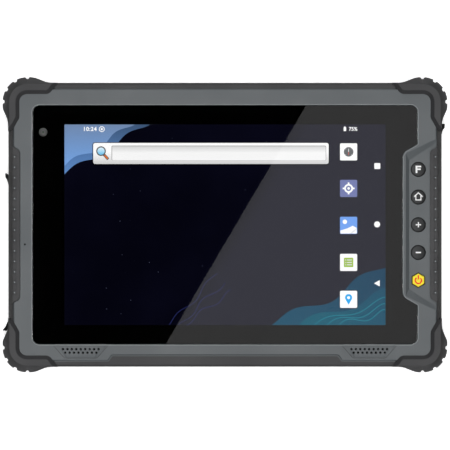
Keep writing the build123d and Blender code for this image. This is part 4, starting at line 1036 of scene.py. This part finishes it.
def sound_hole_shade_rims():
    """Black rim round each sound hole in both speaker bays: painted shade that makes the holes read darker
    and wider.
    """
    tree = rim_tree()
    pitch, first_row, row_gap = 2.39, 2.6, 1.9
    bay_floor = BEZEL_FRONT - 0.6
    edge_y = corners("cover_glass")[0].y - 0.1
    bm = bmesh.new()
    for side_x in (-1, 1):
        for row, count in enumerate((9, 8)):
            values = {"Count": count, "Pitch": pitch * MM, "Radius": 0.56 * MM, "Width": 0.16 * MM,
                      "Finish": materials["mesh_black"]}
            # painted shade: black rings round the holes
            rims = grown_mesh("sound_hole_shade_rims", tree, values)
            first_x = side_x * BAY_X - pitch * (count - 1) / 2
            start = Vector((first_x, edge_y - first_row - row_gap * row, bay_floor - 0.065))
            rims.transform(Matrix.Translation(start * MM))
            bm.from_mesh(rims)
    bmesh.ops.scale(bm, vec=(1 / MM, 1 / MM, 1 / MM), verts=bm.verts[:])
    finish_piece("sound_hole_shade_rims", bm, [materials["mesh_black"]])


sound_hole_shade_rims()


def socket_contacts():
    """Gold strips on the tongues of the three data sockets."""
    tree = blade_tree()
    rows = {"usb_a_socket": (4, 2.4, 1.1), "usb_c_socket": (12, 0.5, 0.26), "hdmi_socket": (9, 0.52, 0.28)}
    for name, (count, pitch, width) in rows.items():
        values = {"Count": count, "Pitch": pitch * MM, "Length": 5.2 * MM, "Width": width * MM,
                  "Thickness": 0.08 * MM, "Bow": 0.16 * MM, "Finish": materials["gold"]}
        mesh = grown_mesh(name + "_contacts", tree, values)
        centre = middle(name)
        start = Vector((corners(name)[0].x + 1.4, centre.y - (count - 1) * pitch / 2, centre.z + 0.43))
        mesh.transform(Matrix.Translation(start * MM))
        made = placed(name + "_contacts", mesh)
        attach(made, "tablet")


socket_contacts()


# ---------------------------------------------------------------- back of the case
def under(outline, x, y):
    """An outline drawn for someone who looks at the back."""
    return [(x - px, y + py) for px, py in outline]


def battery_label():
    """Blank rating plate: pale film with plain bars and a bar pattern."""
    face = foot_of("battery_pack")
    film = moulded("label_film", (150, 152, 154), 0.4, grain=5.0, depth=0.004, amount=0.03)
    ink = moulded("label_ink", (28, 28, 30), 0.5, grain=5.0, depth=0.004)
    place = (0.0, -24.0)
    bm = bmesh.new()

    def mark(outline):
        slab(bm, under(outline, *place), face - 0.08, face, 1)

    slab(bm, under(rounded(-33, -15, 33, 15, 2.0), *place), face - 0.05, face + 0.1, 0)
    for row, (width, height) in enumerate(((30, 2.2), (22, 1.1), (26, 1.1), (18, 1.1))):
        level = 10.0 - 3.6 * row
        mark(rounded(-29, level - height / 2, width - 29, level + height / 2, 0.3))
    position = 6.0
    for i in range(22):
        width = 0.35 + 0.3 * ((i * 7) % 3)
        mark([(position, -11), (position + width, -11), (position + width, -3), (position, -3)])
        position += width + 0.35 + 0.2 * ((i * 5) % 2)
    frame_outer, frame_inner = rounded(8, 2, 28, 12, 1.0), rounded(8.6, 2.6, 27.4, 11.4, 0.6)
    band(bm, under(frame_outer, *place), under(frame_inner, *place), face - 0.08, face, 1)
    mark(stroke([(12, 7), (24, 7)], 0.8))
    mark(stroke([(18, 4.6), (18, 9.4)], 0.8))
    finish_piece("battery_label", bm, [film, ink])


def latch_marks():
    """Printed arrows that show which way the latches slide."""
    face = foot_of("rear_housing")
    paint = moulded("mark_paint", (170, 172, 174), 0.5, grain=5.0, depth=0.004)
    bm = bmesh.new()
    for name in ("battery_latch_left", "battery_latch_right"):
        x, y = middle(name).x, corners(name)[1].y + 6.2
        for outline in ([(-1.5, 0.0), (1.5, 0.0), (0.0, 2.4)], stroke([(0.0, -2.4), (0.0, 0.1)], 0.9)):
            slab(bm, under(outline, x, y), face - 0.02, face + 0.05)
    finish_piece("latch_marks", bm, [paint])


def rear_camera_detail():
    """Lens barrel rings behind the rear window, and the lit face inside the flash."""
    barrel = metal("barrel_ring", (0.32, 0.33, 0.35), 0.3, EVEN)
    lens = Shader("lens_dome", screen_colour(14, 20, 44), 0.06)
    cloud = lens.ramp(lens.noise(0.5), *NOISE_SPAN)
    lens.paint(lens.mix(cloud, screen_colour(10, 14, 36), screen_colour(26, 22, 58)))
    rim = ((3.3, 0.05), (3.3, -0.08), (2.9, -0.1), (2.75, -0.03))
    dome = ((2.4, 0.05), (2.4, -0.04), (1.8, -0.09), (0.6, -0.12))
    turned_rings("rear_lens", "rear_camera", foot_of("rear_camera"), (rim, dome), [barrel, lens.material])
    x, y, _ = middle("flash_lens")
    top = top_of("flash_lens")
    glow = moulded("flash_face", (238, 206, 60), 0.5, grain=5.0, depth=0.01)
    bm = bmesh.new()
    slab(bm, moved(rounded(-1.1, -1.1, 1.1, 1.1, 0.3), x, y), top - 0.02, top + 0.25)
    finish_piece("flash_face", bm, [glow])


battery_label()
latch_marks()
rear_camera_detail()

# ---------------------------------------------------------------- camera, light and stage
DISTANCE = 2.4  # of the camera from the front of the case
WIDTH = 0.2413  # seen at that distance
PLANE = 0.0195  # level of the front of the case


def sheet(name, points, z, kind):
    """Flat piece of the stage."""
    mesh = bpy.data.meshes.new(name)
    mesh.from_pydata([(x, y, z) for x, y in points], [], [tuple(range(len(points)))])
    mesh.materials.append(kind)
    made = placed(name, mesh)
    return made


def glow_material(name, strength):
    made = bpy.data.materials.new(name)
    made.use_nodes = True
    tree = made.node_tree
    tree.nodes.clear()
    light = tree.nodes.new("ShaderNodeEmission")
    light.inputs["Color"].default_value = (1, 1, 1, 1)
    light.inputs["Strength"].default_value = strength
    out = tree.nodes.new("ShaderNodeOutputMaterial")
    tree.links.new(light.outputs["Emission"], out.inputs["Surface"])
    return made


def floor():
    """Pale floor that keeps the object's shadow and is clear from below."""
    made = Shader("floor", (1, 1, 1, 1), 0.9, specular_ior_level=0.0, emission_color=(1, 1, 1, 1))
    seen = made.node("ShaderNodeLightPath").outputs["Is Camera Ray"]
    made.paint(made.ramp(seen, 0.0, 1.0, 0.0, 0.6), "Emission Strength")
    below = made.node("ShaderNodeNewGeometry").outputs["Backfacing"]
    clear = made.node("ShaderNodeBsdfTransparent").outputs["BSDF"]
    choice = made.node("ShaderNodeMixShader")
    for source, socket in zip((below, made.principled.outputs["BSDF"], clear), choice.inputs):
        made.links.new(source, socket)
    made.links.new(choice.outputs["Shader"], made.nodes["Material Output"].inputs["Surface"])
    plane = sheet("floor", [(-4, -4), (4, -4), (4, 4), (-4, 4)], 0.0, made.material)
    plane.visible_shadow = False


def cards():
    """Two overhead cards that only the gloss sees: dark on the left, pale on the right of a slanting edge."""
    foot_x, foot_y, top_x, top_y = -0.0638, -0.1282, 0.0872, 0.1282
    lean = (top_x - foot_x) / (top_y - foot_y)
    side, reach = 0.3, 0.2
    near, far = ((foot_x + (y - foot_y) * lean, y) for y in (-reach, reach))
    for name, points, strength in (
        ("dark", [(-side, -reach), near, far, (-side, reach)], 0.0),
        ("pale", [near, (side, -reach), (side, reach), far], 0.5),
    ):
        card = sheet(name + "_card", points, PLANE + DISTANCE, glow_material(name, strength))
        card.visible_camera = False
        card.visible_diffuse = False
        card.visible_shadow = False


def lamp(name, place, size, power):
    """Square lamp that faces the middle of the case."""
    data = bpy.data.lights.new(name, "AREA")
    data.shape = "SQUARE"
    data.size = size
    data.energy = power
    made = placed(name, data)
    made.location = place
    made.rotation_mode = "QUATERNION"
    made.rotation_quaternion = (-Vector(place)).to_track_quat("-Z", "Y")


def light_up():
    world = bpy.data.worlds.new("studio")
    world.use_nodes = True
    back = world.node_tree.nodes["Background"]
    path = world.node_tree.nodes.new("ShaderNodeLightPath")
    level = world.node_tree.nodes.new("ShaderNodeMapRange")
    level.inputs["To Min"].default_value = 0.22
    level.inputs["To Max"].default_value = 1.0
    world.node_tree.links.new(path.outputs["Is Camera Ray"], level.inputs["Value"])
    world.node_tree.links.new(level.outputs["Result"], back.inputs["Strength"])
    back.inputs["Color"].default_value = (1, 1, 1, 1)
    bpy.context.scene.world = world
    for x, y, power in ((0.0, 0.38, 3.2), (0.0, -0.38, 3.2), (-0.38, 0.0, 3.6), (0.38, 0.0, 2.5)):
        lamp("overhead_light", (x, y, 1.5), 0.26, power)
    for place in ((0.15, -1.3, 0.9), (0.15, 1.3, 0.9)):
        lamp("side_light", place, 0.5, 4.2)
    lamp("under_light", (0.0, 0.0, -1.5), 1.2, 14.0)


def camera():
    data = bpy.data.cameras.new("camera")
    data.sensor_width = 36
    data.lens = data.sensor_width * DISTANCE / WIDTH
    data.clip_start = 0.1
    data.clip_end = 20
    made = placed("camera", data)
    made.location = (0.0, -0.00013, PLANE + DISTANCE)
    bpy.context.scene.camera = made


floor()
cards()
light_up()
camera()
bpy.context.scene.view_settings.view_transform = "Standard"
